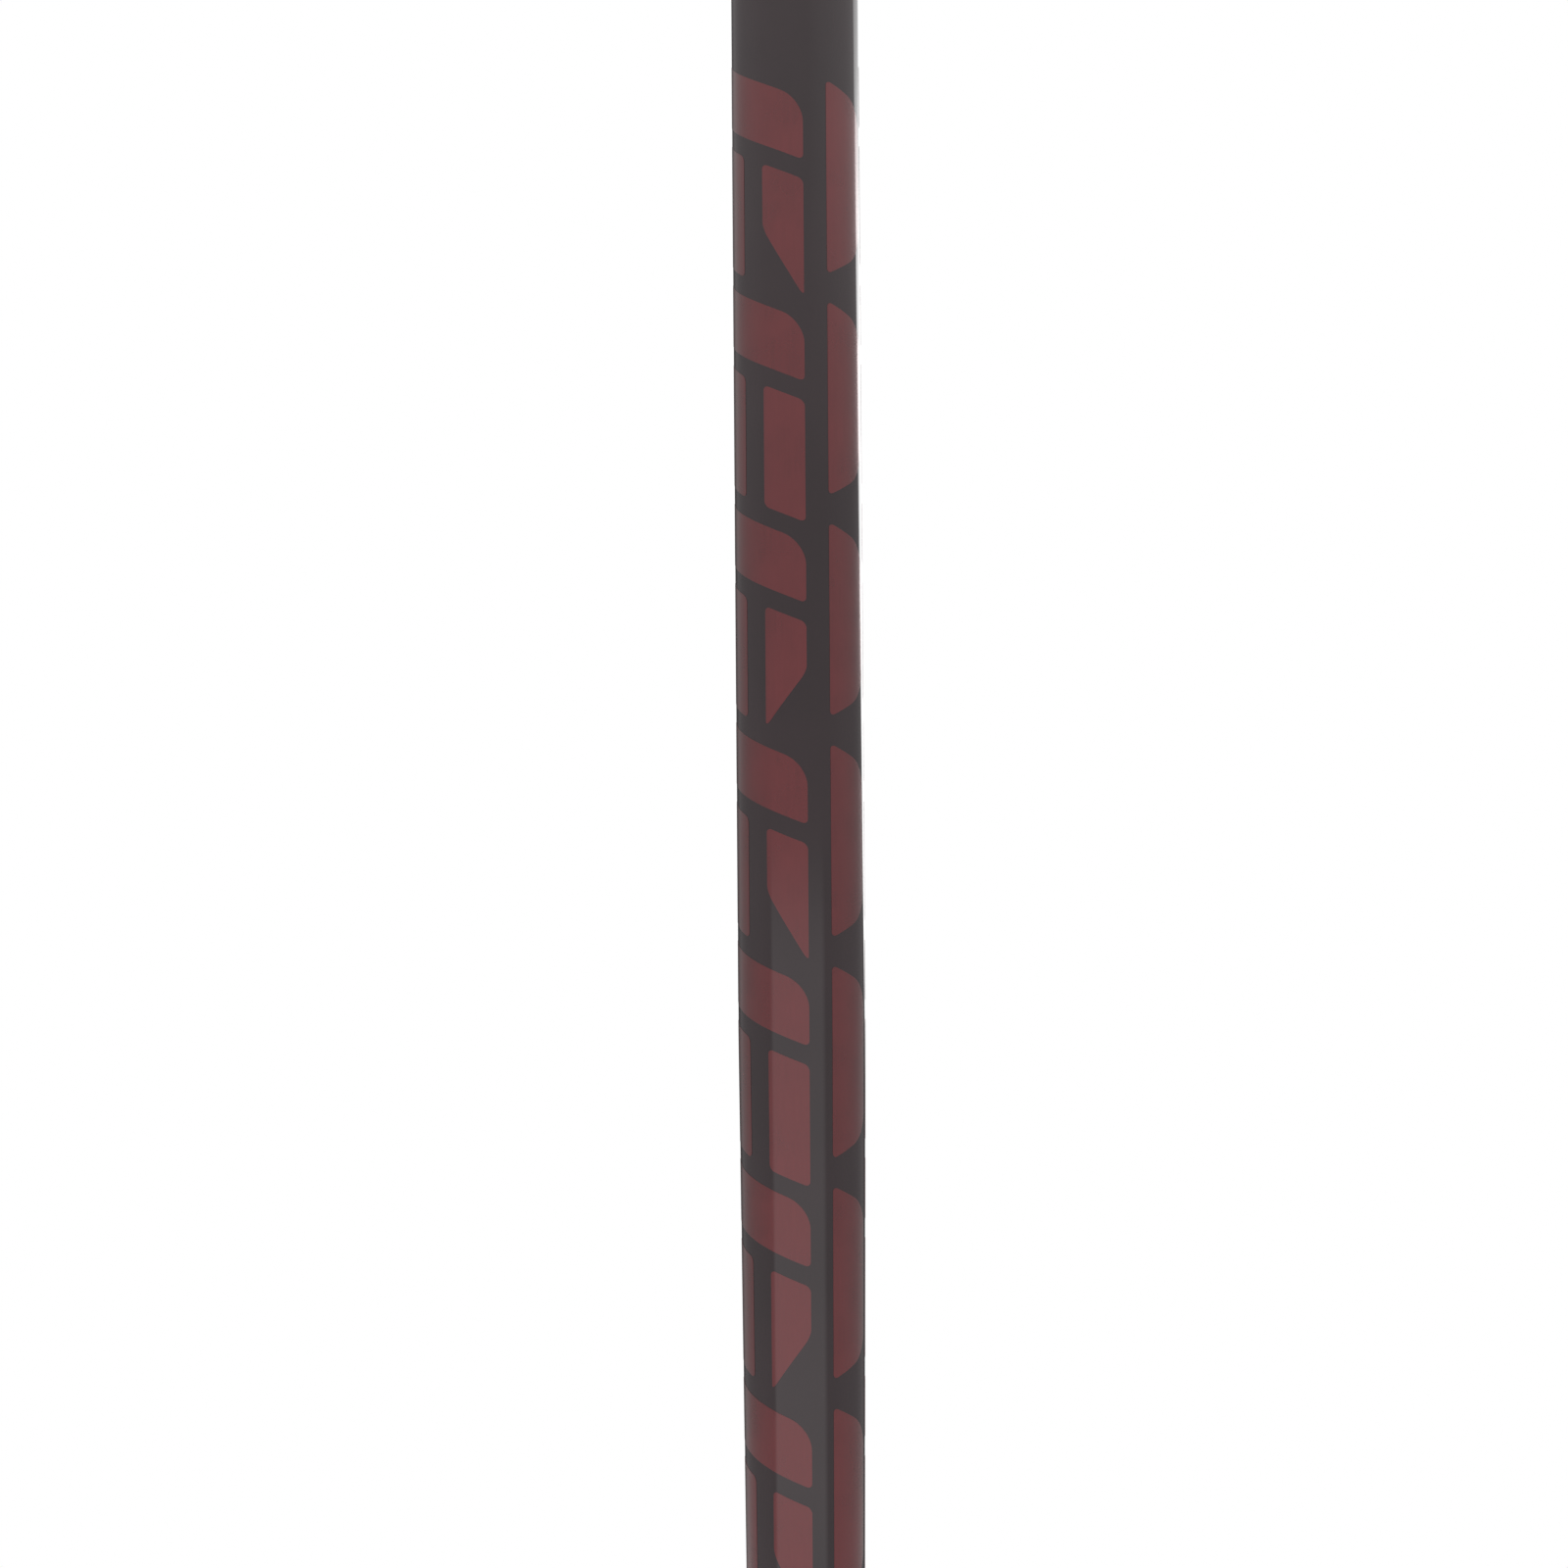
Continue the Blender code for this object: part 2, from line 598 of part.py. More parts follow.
def make_grip_core(pole):
    """The hard inner body: a tube over the shaft's end, and the head with the strap's slot."""
    tube_foot, head_foot = COLLAR_TOP + FIT_GAP, SLEEVE_TOP + FIT_GAP
    rings = [circle(CORE_TUBE_RADIUS, tube_foot), circle(CORE_TUBE_RADIUS, head_foot)]
    rings += [grip_ring(head_foot, GRIP_EDGE), grip_ring(head_foot + GRIP_EDGE)]
    rings += [grip_ring(h) for h in (1.1650, 1.1695, 1.1740, 1.1790, 1.1840, 1.1880, HEAD_TOP)]
    core = add_piece(skin("grip_core", rings), BLACK_PLASTIC, pole)
    bore_top = SHAFT_TOP + PLUG_HEAD + 2 * FIT_GAP
    bore = [(CORE_BORE_RADIUS, COLLAR_FOOT), (CORE_BORE_RADIUS, bore_top)]
    pin_outline = pin_circle(STRAP_PIN_RADIUS + FIT_GAP)
    screw_hole = [(0.0014, SCREW_FOOT - 0.0010), (0.0014, HEAD_TOP + 0.0040)]
    cutters = [
        turned("core_bore", bore),
        prism("strap_slot", slot_outline(), SLOT_HALF_WIDTH),
        prism("strap_pin_hole", pin_outline, 0.0200),
        turned("screw_hole", screw_hole, SMALL_ROUND, centre=(SCREW_X, 0)),
    ]
    cut(core, cutters, pole)


def make_grip_sleeve(pole):
    """The soft handle moulded over the core's tube, with four finger grooves."""
    foot, inner = COLLAR_TOP + FIT_GAP, CORE_TUBE_RADIUS + FIT_GAP
    low, high, count = foot + GRIP_EDGE, SLEEVE_TOP - GRIP_EDGE, 24
    rings = [circle(inner, foot), grip_ring(foot, GRIP_EDGE)]
    rings += [grip_ring(low + (high - low) * i / count) for i in range(count + 1)]
    rings += [grip_ring(SLEEVE_TOP, GRIP_EDGE), circle(inner, SLEEVE_TOP)]
    sleeve = add_piece(skin("grip_sleeve", rings, hollow=True), SOFT_GRIP_RUBBER, pole)
    cut(sleeve, [palm_slab("palm_recess", 0.0030, PALM_PAD_DEPTH, FIT_GAP)], pole)


def make_grip_palm_pad(pole):
    """The coloured pad let into the back of the handle."""
    add_piece(palm_slab("grip_palm_pad", 0.0002, PALM_PAD_DEPTH), DARK_RED_PLASTIC, pole)


def make_grip_collar(pole):
    """The ring below the handle that hides the sleeve's end."""
    bore = SHAFT_RADIUS + FIT_GAP
    outline = [
        (bore, COLLAR_FOOT),
        (COLLAR_RIM - 0.0010, COLLAR_FOOT),
        (COLLAR_RIM, COLLAR_FOOT + 0.0010),
        (COLLAR_RIM + 0.0004, COLLAR_TOP - 0.0010),
        (COLLAR_RIM - 0.0004, COLLAR_TOP),
        (bore, COLLAR_TOP),
    ]
    add_piece(turned("grip_collar", outline, hollow=True), DARK_RED_PLASTIC, pole)


def oval(half_length, half_width, height, centre_x=0.0, sides=ROUND, squareness=3.0):
    """A rounded oval in a level plane."""
    points = [rounded(2 * pi * i / sides, squareness) for i in range(sides)]
    return [(centre_x + half_length * x, half_width * y, height) for x, y in points]


def make_grip_cap(pole):
    """The soft cap on the head, with a recess for the inlay and a well for the screw."""
    foot = HEAD_TOP + FIT_GAP
    heights = (foot, 1.1925, 1.1945, 1.1965, 1.1980, 1.1992, POLE_LENGTH)
    cap = add_piece(skin("grip_cap", [grip_ring(h) for h in heights]), SOFT_GRIP_RUBBER, pole)
    beyond = POLE_LENGTH + 0.0020
    length, width = INLAY_HALF_LENGTH + FIT_GAP, INLAY_HALF_WIDTH + FIT_GAP
    recess = [oval(length, width, INLAY_FOOT - FIT_GAP), oval(length, width, beyond)]
    well = [
        (0.0017, foot - 0.0020),
        (0.0017, SCREW_HEAD_FOOT - FIT_GAP),
        (SCREW_HEAD_RADIUS + 0.0004, SCREW_HEAD_FOOT - FIT_GAP),
        (SCREW_HEAD_RADIUS + 0.0004, beyond),
    ]
    cutters = [
        skin("inlay_recess", recess),
        turned("screw_well", well, SMALL_ROUND, centre=(SCREW_X, 0)),
    ]
    cut(cap, cutters, pole)


def make_cap_screw(pole):
    """The slotted screw that holds the cap to the head."""
    shank = 0.0011
    outline = [
        (shank - 0.0004, SCREW_FOOT),
        (shank, SCREW_FOOT + 0.0012),
        (shank, SCREW_HEAD_FOOT),
        (SCREW_HEAD_RADIUS, SCREW_HEAD_FOOT),
        (SCREW_HEAD_RADIUS, SCREW_HEAD_TOP),
    ]
    screw = turned("cap_screw", outline, SMALL_ROUND, centre=(SCREW_X, 0))
    low, high = SCREW_HEAD_TOP - 0.0009, SCREW_HEAD_TOP + 0.0010
    half_slot = 0.0004
    left, right = SCREW_X - half_slot, SCREW_X + half_slot
    slot = prism("driver_slot", [(left, low), (right, low), (right, high), (left, high)], 0.0040)
    cut(add_piece(screw, GROUND_STEEL, pole), [slot], pole)


def make_cap_inlay(pole):
    """The coloured plate that covers the screw."""
    edge = 0.0004
    rings = [
        oval(INLAY_HALF_LENGTH, INLAY_HALF_WIDTH, INLAY_FOOT),
        oval(INLAY_HALF_LENGTH, INLAY_HALF_WIDTH, INLAY_TOP - edge),
        oval(INLAY_HALF_LENGTH - edge, INLAY_HALF_WIDTH - edge, INLAY_TOP),
    ]
    add_piece(skin("cap_inlay", rings), DARK_RED_PLASTIC, pole)


# ---- strap ----------------------------------------------------------------------------------------


def pin_circle(radius):
    """A circle of (x, z) points round the strap pin's axis."""
    return arc((STRAP_PIN_X, STRAP_PIN_HEIGHT), radius, 0, 360, SMALL_ROUND)[:-1]


def make_strap_pin(pole):
    """The steel pin through the head that anchors the strap's sewn eye."""
    add_piece(prism("strap_pin", pin_circle(STRAP_PIN_RADIUS), STRAP_PIN_HALF_LENGTH), GROUND_STEEL, pole)


def make_strap_wedge(pole):
    """The wedge that jams the strap's adjustable leg in the slot, with ridges to pull it out by."""
    _, height_at = wedge_slope(0.0)
    top = height_at(WEDGE_BACK_X)
    ridge = (top - WEDGE_FOOT) / WEDGE_RIDGES
    outline = [*wedge_nose(0.0, 8), (WEDGE_BACK_X, top)]
    for i in range(WEDGE_RIDGES):
        ridge_top = top - i * ridge
        outline.append((WEDGE_BACK_X - 0.0008, ridge_top - 0.35 * ridge))
        outline.append((WEDGE_BACK_X, ridge_top - 0.85 * ridge))
    outline.append((WEDGE_BACK_X, WEDGE_FOOT))
    wedge = prism("strap_wedge", outline, STRAP_WIDTH / 2 - FIT_GAP)
    middle = (WEDGE_BACK_X, 0, (WEDGE_FOOT + top) / 2)
    add_piece(wedge, DARK_RED_PLASTIC, pole, middle)


def bend_down(radius):
    """A leg's quarter turn from the slot's mouth to hanging straight down."""
    return arc((BEND_X, FIXED_LEG_HEIGHT - INNER_BEND_RADIUS), radius, 90, 180, 6)


def make_strap_fixed_end(pole):
    """The strap's anchored leg above the hinge line, from its sewn eye round the pin."""
    eye = arc((STRAP_PIN_X, STRAP_PIN_HEIGHT), STRAP_EYE_RADIUS, 200, -90, 16)
    route = [*eye, (-0.0100, FIXED_LEG_HEIGHT), (-0.0240, FIXED_LEG_HEIGHT)]
    route += [*bend_down(INNER_BEND_RADIUS), (FIXED_LEG_X, STRAP_HINGE_HEIGHT)]
    add_piece(ribbon("strap_fixed_end", route), WOVEN_WEBBING, pole)


def make_strap_lock_bight(pole):
    """The strap's adjustable leg above the hinge line: in under the wedge, round its nose and out over it."""
    route = [(LIVE_LEG_X, STRAP_HINGE_HEIGHT), *reversed(bend_down(INNER_BEND_RADIUS + LEG_PITCH))]
    route += [(-0.0240, LIVE_LEG_HEIGHT), *wedge_nose(FIT_GAP + STRAP_THICKNESS / 2, 12)]
    _, height_at = wedge_slope(FIT_GAP + STRAP_THICKNESS / 2)
    over = [
        (MOUTH_X, height_at(MOUTH_X)),
        (-0.0304, 1.1847),
        (-0.0350, 1.1832),
        (-0.0381, 1.1790),
        (-0.0391, 1.1735),
        (TAIL_X, 1.1670),
        (TAIL_X, STRAP_HINGE_HEIGHT),
    ]
    route += smooth_through(over, 4)
    add_piece(ribbon("strap_lock_bight", route), WOVEN_WEBBING, pole)


def loop_route():
    """The wrist loop from the hinge down its fixed leg, round, and up its adjustable leg."""
    top = STRAP_HINGE_HEIGHT - FIT_GAP
    opening = [
        (FIXED_LEG_X, LOOP_OPENS),
        (-0.0325, 1.0740),
        (-0.0268, 1.0500),
        (-0.0218, 1.0220),
        (-0.0205, 0.9940),
        (-0.0250, 0.9670),
        (-0.0390, 0.9500),
        (-0.0570, 0.9540),
        (-0.0700, 0.9740),
        (-0.0745, 1.0030),
        (-0.0700, 1.0330),
        (-0.0580, 1.0610),
        (-0.0445, 1.0810),
        (-0.0385, 1.0900),
        (LIVE_LEG_X, 1.0980),
    ]
    return [(FIXED_LEG_X, top), *smooth_through(opening, 3), (LIVE_LEG_X, top)]


def make_strap_loop(pole, hinge):
    """The wrist loop and the padding inside its lower part."""
    route = loop_route()
    add_piece(ribbon("strap_loop", route), WOVEN_WEBBING, pole, hinge)
    padded = [point for point in route if point[1] < PAD_TOP]
    inward = STRAP_THICKNESS / 2 + FIT_GAP + PAD_THICKNESS / 2
    pad = ribbon("strap_pad", padded, PAD_THICKNESS, PAD_WIDTH, -inward)
    add_piece(pad, SOFT_GRIP_RUBBER, pole, hinge)


def make_strap_tail(pole, hinge):
    """The free tail that comes out over the wedge, and the moulded tab on its end."""
    tail = [(TAIL_X, STRAP_HINGE_HEIGHT - FIT_GAP), (TAIL_X, TAIL_FOOT)]
    add_piece(ribbon("strap_tail", tail), WOVEN_WEBBING, pole, hinge)
    tab_x, tab_top = TAIL_X - 0.0002, TAIL_FOOT - FIT_GAP
    tab = [(tab_x, tab_top), (tab_x, tab_top - TAB_LENGTH)]
    mesh = ribbon("strap_end_tab", tab, STRAP_THICKNESS + 0.0006, STRAP_WIDTH + 0.0010)
    add_piece(mesh, BASKET_RUBBER, pole, hinge)


def make_strap_keeper(pole):
    """The rubber loop that gathers the strap's three layers and slides down them."""
    front = FIXED_LEG_X + STRAP_THICKNESS / 2 + FIT_GAP
    back = TAIL_X - STRAP_THICKNESS / 2 - FIT_GAP
    middle, half_depth = (front + back) / 2, (front - back) / 2
    half_width = STRAP_WIDTH / 2 + FIT_GAP
    low = KEEPER_TOP - KEEPER_HEIGHT
    edge = 0.0006
    profile = [
        (0.0, low),
        (KEEPER_WALL - edge, low),
        (KEEPER_WALL, low + edge),
        (KEEPER_WALL, KEEPER_TOP - edge),
        (KEEPER_WALL - edge, KEEPER_TOP),
        (0.0, KEEPER_TOP),
    ]
    rings = [
        oval(half_depth + out, half_width + out, height, middle, 32, KEEPER_SQUARENESS)
        for out, height in profile
    ]
    add_piece(skin("strap_keeper", rings, hollow=True), BASKET_RUBBER, pole, (middle, 0, KEEPER_TOP))


# ---- the whole pole -------------------------------------------------------------------------------


def main():
    for old in list(bpy.data.objects):
        bpy.data.objects.remove(old)
    pole = bpy.data.objects.new("pole", None)
    bpy.context.scene.collection.objects.link(pole)
    pole.location = (0, 0, -HOLD_HEIGHT)

    make_shaft(pole)
    make_shaft_plug(pole)
    make_ferrule(pole)
    make_tip(pole)
    make_basket_clip(pole)
    make_basket(pole)

    make_grip_core(pole)
    make_grip_sleeve(pole)
    make_grip_palm_pad(pole)
    make_grip_collar(pole)
    make_grip_cap(pole)
    make_cap_screw(pole)
    make_cap_inlay(pole)

    strap_hinge = (STRAP_HINGE_X, 0, STRAP_HINGE_HEIGHT)
    make_strap_pin(pole)
    make_strap_wedge(pole)
    make_strap_fixed_end(pole)
    make_strap_lock_bight(pole)
    make_strap_loop(pole, strap_hinge)
    make_strap_tail(pole, strap_hinge)
    make_strap_keeper(pole)


main()
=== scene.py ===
"""Alpine ski pole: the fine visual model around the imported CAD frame, its camera, light and floor.

Metres. Z runs up the shaft, +X is the fingers' side of the grip and -X the palm's side, with the strap.
Heights are above the point of the tip, as in the CAD source; mesh_from() moves each mesh into the frame.
"""

from functools import reduce
from math import ceil, copysign, cos, degrees, floor, hypot, pi, radians, sin, sqrt, tan

import bmesh
import bpy
from mathutils import Matrix, Vector


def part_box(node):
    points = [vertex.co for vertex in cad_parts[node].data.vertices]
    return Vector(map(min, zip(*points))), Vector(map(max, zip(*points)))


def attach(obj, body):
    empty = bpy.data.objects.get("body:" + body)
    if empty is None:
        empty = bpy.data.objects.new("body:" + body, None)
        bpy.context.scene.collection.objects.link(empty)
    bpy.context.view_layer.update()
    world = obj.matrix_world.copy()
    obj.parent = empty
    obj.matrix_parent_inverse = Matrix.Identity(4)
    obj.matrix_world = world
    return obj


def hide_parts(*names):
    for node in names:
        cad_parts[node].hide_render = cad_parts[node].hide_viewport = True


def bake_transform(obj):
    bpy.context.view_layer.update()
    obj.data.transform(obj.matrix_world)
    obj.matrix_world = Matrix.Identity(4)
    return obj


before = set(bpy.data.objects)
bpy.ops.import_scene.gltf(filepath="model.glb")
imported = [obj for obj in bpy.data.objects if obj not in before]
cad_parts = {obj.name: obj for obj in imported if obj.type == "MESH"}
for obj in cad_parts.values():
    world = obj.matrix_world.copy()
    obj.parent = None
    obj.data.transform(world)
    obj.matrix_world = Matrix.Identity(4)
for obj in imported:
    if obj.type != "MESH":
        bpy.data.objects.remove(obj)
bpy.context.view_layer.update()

# ---- sizes that the CAD source gives ----

TIP_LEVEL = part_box("tip_insert")[0].z
FIT_GAP = 0.0003
POLE_LENGTH = 1.200

SHAFT_RADIUS = 0.0090
SHAFT_WALL = 0.0011
SHAFT_TOP = 1.1600
TAPER_TOP = 0.586
SHAFT_FOOT = 0.0840
SHAFT_FOOT_RADIUS = 0.0050
PLUG_HEAD = 0.0026

FERRULE_FOOT = 0.0110
FERRULE_TOP = 0.1260
FERRULE_WALL = 0.0016
SHANK_RADIUS = 0.0030
SHANK_TOP = 0.0358
SEAT_RADIUS = 0.0082
SEAT_FOOT = 0.0507
SEAT_TOP = 0.0672
CLIP_HEIGHT = 0.0016
CLIP_GROOVE_DEPTH = 0.0012
CLIP_WIDTH = 0.0024
FIRST_RIB = 0.0790
RIB_COUNT = 5
RIB_PITCH = 0.0060
RIB_RISE = 0.0007
CROWN_RADIUS = 0.0037
CROWN_DISH = 0.0019
CROWN_TEETH = 8

BASKET_RADIUS = 0.0300
BASKET_SPOKES = 6
WINDOW_INNER = 0.0190
WINDOW_OUTER = 0.0258
RIM_NOTCH_RADIUS = 0.0040
RIM_NOTCH_DEPTH = 0.0014
HUB_BORE = SEAT_RADIUS + FIT_GAP
HUB_RADIUS = HUB_BORE + 0.0028
HUB_FLANGE = 0.0030
FLANGE_FOOT = 0.0575
FLANGE_TOP = 0.0595

COLLAR_FOOT = 1.0600
COLLAR_TOP = 1.0709
COLLAR_RIM = 0.0128
CORE_BORE_RADIUS = SHAFT_RADIUS + FIT_GAP
CORE_TUBE_RADIUS = CORE_BORE_RADIUS + 0.0021
SLEEVE_TOP = 1.1600
HEAD_TOP = 1.1905
GRIP_EDGE = 0.0008
GRIP_SQUARENESS = 2.3
FIRST_FINGER = 1.0780
FINGER_COUNT = 4
FINGER_PITCH = 0.0200
LAST_FINGER = FIRST_FINGER + FINGER_COUNT * FINGER_PITCH
FINGER_DEPTH = 0.0012
PALM_PAD_FOOT = 1.0900
PALM_PAD_TOP = 1.1480
PALM_PAD_MIDDLE = (PALM_PAD_FOOT + PALM_PAD_TOP) / 2
PALM_PAD_HALF_HEIGHT = (PALM_PAD_TOP - PALM_PAD_FOOT) / 2
PALM_PAD_HALF_ANGLE = radians(46)
PALM_PAD_DEPTH = 0.0016
INLAY_HALF_LENGTH = 0.0158
INLAY_HALF_WIDTH = 0.0064
INLAY_THICKNESS = 0.0014
INLAY_TOP = POLE_LENGTH - 0.0002
INLAY_FOOT = INLAY_TOP - INLAY_THICKNESS
SCREW_X = 0.0130
SCREW_HEAD_RADIUS = 0.0025
SCREW_HEAD_FOOT = INLAY_FOOT - FIT_GAP - 0.0022

STRAP_WIDTH = 0.0200
STRAP_THICKNESS = 0.0016
LEG_PITCH = STRAP_THICKNESS + 0.0004
SLOT_FLOOR = 1.1710
FIXED_LEG_HEIGHT = SLOT_FLOOR + FIT_GAP + STRAP_THICKNESS / 2
LIVE_LEG_HEIGHT = FIXED_LEG_HEIGHT + LEG_PITCH
STRAP_PIN_RADIUS = 0.0020
STRAP_PIN_X = 0.0020
STRAP_EYE_RADIUS = STRAP_PIN_RADIUS + FIT_GAP + STRAP_THICKNESS / 2
STRAP_PIN_HEIGHT = FIXED_LEG_HEIGHT + STRAP_EYE_RADIUS
WEDGE_ANGLE = radians(13)
WEDGE_NOSE_RADIUS = 0.0019
WEDGE_NOSE_X = -0.0082
WEDGE_BACK_X = -0.0255
WEDGE_FOOT = LIVE_LEG_HEIGHT + STRAP_THICKNESS / 2 + FIT_GAP
WEDGE_NOSE_HEIGHT = WEDGE_FOOT + WEDGE_NOSE_RADIUS
MOUTH_X = -0.0262
BEND_X = -0.0270
INNER_BEND_RADIUS = 0.0080
FIXED_LEG_X = BEND_X - INNER_BEND_RADIUS
LIVE_LEG_X = FIXED_LEG_X - LEG_PITCH
TAIL_X = LIVE_LEG_X - LEG_PITCH
LOOP_OPENS = 1.0920
PAD_TOP = 1.0450
PAD_THICKNESS = 0.0030
PAD_WIDTH = 0.0280
TAIL_FOOT = 1.1150
TAB_LENGTH = 0.0120
KEEPER_TOP = 1.1440
KEEPER_HEIGHT = 0.0090
KEEPER_WALL = 0.0018

# The grip's outline at a few heights: (height, reach back, reach front, half width).
GRIP_OUTLINE = [
    (1.0600, 0.0128, 0.0128, 0.0128),
    (1.0712, 0.0134, 0.0134, 0.0132),
    (1.0830, 0.0145, 0.0144, 0.0138),
    (1.0980, 0.0161, 0.0151, 0.0144),
    (1.1150, 0.0171, 0.0154, 0.0148),
    (1.1330, 0.0167, 0.0154, 0.0147),
    (1.1480, 0.0156, 0.0158, 0.0143),
    (1.1600, 0.0160, 0.0178, 0.0144),
    (1.1680, 0.0196, 0.0206, 0.0152),
    (1.1760, 0.0242, 0.0232, 0.0158),
    (1.1840, 0.0262, 0.0248, 0.0160),
    (1.1905, 0.0260, 0.0248, 0.0157),
    (1.1945, 0.0246, 0.0236, 0.0146),
    (1.1980, 0.0216, 0.0208, 0.0122),
    (1.2000, 0.0180, 0.0172, 0.0094),
]

# ---- sizes that only the visual model has ----

ROUND = 128  # sides of a large round piece
GRIP_SIDES = 192
SHARP_ANGLE = radians(38)
ROUTE_STEP = 0.0013  # the longest straight step along the strap
INK_RISE = 0.000035  # how far the print stands above the paint
INK_ROOT = 0.000020  # and how far it reaches into it
TAIL_IN_TAB = 0.0015  # the end of the webbing that the tab is moulded round
WARP_RIBS = 14
RIB_DEPTH = 0.00014
SELVEDGE = 0.00025  # half the webbing's thickness at its edges
PALM_PAD_SQUARENESS = 5
INLAY_SQUARENESS = 3.0
PAD_SQUARENESS = 4
SEAM_SHARE = 0.60  # where the padding's two seams are, from its middle to its edge
SEAM_MARGIN = 0.006
STITCH_PITCH = 0.0034
STITCH_LENGTH = 0.0025

# ---- colours, linear ----

CHARCOAL_PAINT = (0.021, 0.0125, 0.0145)
DARK_RED_INK = (0.110, 0.0134, 0.0163)
RED_PLASTIC = (0.105, 0.012, 0.018)
BLACK_PLASTIC = (0.016, 0.0155, 0.016)
GRIP_RUBBER = (0.021, 0.0205, 0.021)
BASKET_RUBBER = (0.014, 0.0138, 0.0142)
WEBBING_YARN = (0.030, 0.028, 0.030)
PAD_FABRIC = (0.024, 0.023, 0.024)
RED_THREAD = (0.130, 0.014, 0.020)
GROUND_STEEL = (0.34, 0.335, 0.33)
SPRING_STEEL = (0.22, 0.215, 0.21)


# ---- materials ----


class Nodes:
    """A node tree being built. Any input takes a number, a colour or another node's output."""

    def __init__(self, tree):
        self.tree = tree

    def feed(self, node, *ordered, **named):
        """Gives a node's inputs their values, in order or by name. An underscore stands for a space."""
        pairs = list(zip(node.inputs, ordered))
        pairs += [(node.inputs[name.replace("_", " ")], value) for name, value in named.items()]
        for socket, value in pairs:
            if isinstance(value, bpy.types.NodeSocket):
                self.tree.links.new(value, socket)
            else:
                socket.default_value = value

    def node(self, kind, *ordered, settings=None, **named):
        made = self.tree.nodes.new("ShaderNode" + kind)
        for name, value in (settings or {}).items():
            setattr(made, name, value)
        self.feed(made, *ordered, **named)
        return made

    def maths(self, operation, *values):
        return self.node("Math", *values, settings={"operation": operation}).outputs[0]

    def product(self, *values):
        return reduce(lambda first, second: self.maths("MULTIPLY", first, second), values)

    def total(self, *values):
        return reduce(lambda first, second: self.maths("ADD", first, second), values)

    def spread(self, value, low, high, to_low=0.0, to_high=1.0):
        """Values from low to high, moved smoothly to the range from to_low to to_high."""
        smooth = {"interpolation_type": "SMOOTHSTEP"}
        return self.node("MapRange", value, low, high, to_low, to_high, settings=smooth).outputs[0]

    def mixed(self, share, first, second):
        """One colour where a share is 0, and another where it is 1."""
        solid = [(*c, 1.0) if isinstance(c, tuple) else c for c in (first, second)]
        return self.node("MixRGB", share, *solid).outputs[0]

    def split(self, vector):
        """The X, Y and Z outputs of a vector."""
        return self.node("SeparateXYZ", vector).outputs


class Recipe(Nodes):
    """The nodes of one material: a Principled shader and what feeds it. Sizes are in metres."""

    def __init__(self, name, roughness, metallic=0.0, specular=0.5):
        self.material = bpy.data.materials.new(name)
        self.material.use_nodes = True
        super().__init__(self.material.node_tree)
        self.shader = self.tree.nodes["Principled BSDF"]
        self.shade(Roughness=roughness, Metallic=metallic, Specular_IOR_Level=specular)
        self.place = self.node("TexCoord").outputs["Object"]

    def shade(self, **values):
        """Gives the shader's inputs their values."""
        self.feed(self.shader, **values)

    def colour(self, base, factor, *layers):
        """Shades of one colour: it times a first factor, and (share, factor) layers over that."""
        shown = tuple(channel * factor for channel in base)
        for share, other in layers:
            shown = self.mixed(share, shown, tuple(channel * other for channel in base))
        self.shade(Base_Color=shown)

    def roughen(self, share, low, high, *more):
        """Roughness from low to high as a share goes from 0 to 1, and anything more on top."""
        self.shade(Roughness=self.total(self.spread(share, 0.0, 1.0, low, high), *more))

    def stretched(self, scale, place=None):
        """The piece's own coordinates, or others, scaled along each axis."""
        return self.node("Mapping", place or self.place, Scale=scale).outputs[0]

    def cloth(self):
        """The piece's own map: metres across it and along it."""
        return self.node("UVMap", settings={"uv_map": "cloth"}).outputs[0]

    def noise(self, size, detail=2.0, place=None):
        """Soft random values round 0.5, with spots of about that size."""
        made = self.node("TexNoise", place or self.place, Scale=1 / size, Detail=detail)
        return made.outputs["Fac"]

    def patches(self, size, detail=2.0, place=None):
        """Soft patches of about that size, from 0 to 1."""
        return self.spread(self.noise(size, detail, place), 0.3, 0.7)

    def pebbles(self, size):
        """Round spots of about that size: 0 in the middle of each, and up to 1 between them."""
        distance = self.node("TexVoronoi", self.place, Scale=1 / size).outputs["Distance"]
        return self.spread(distance, 0.0, 0.7)

    def wave(self, value, pitch):
        """A sine, from -1 to 1, that repeats every pitch."""
        return self.maths("SINE", self.product(value, 2 * pi / pitch))

    def edges(self):
        """Near 1 along convex edges, where handling wears a piece, and 0 elsewhere."""
        return self.spread(self.node("NewGeometry").outputs["Pointiness"], 0.53, 0.60)

    def with_bumps(self, *layers):
        """The material, with relief in (heights from 0 to 1, depth in metres) layers over one another."""
        for height, depth in layers:
            bump = self.node("Bump", Height=height, Distance=depth)
            for link in self.shader.inputs["Normal"].links:
                self.feed(bump, Normal=link.from_socket)
            self.shade(Normal=bump.outputs[0])
        return self.material


def varnish(recipe):
    """The clear varnish over the shaft's paint and print."""
    recipe.shade(Coat_Weight=1.0, Coat_Roughness=0.06, Coat_IOR=1.5)


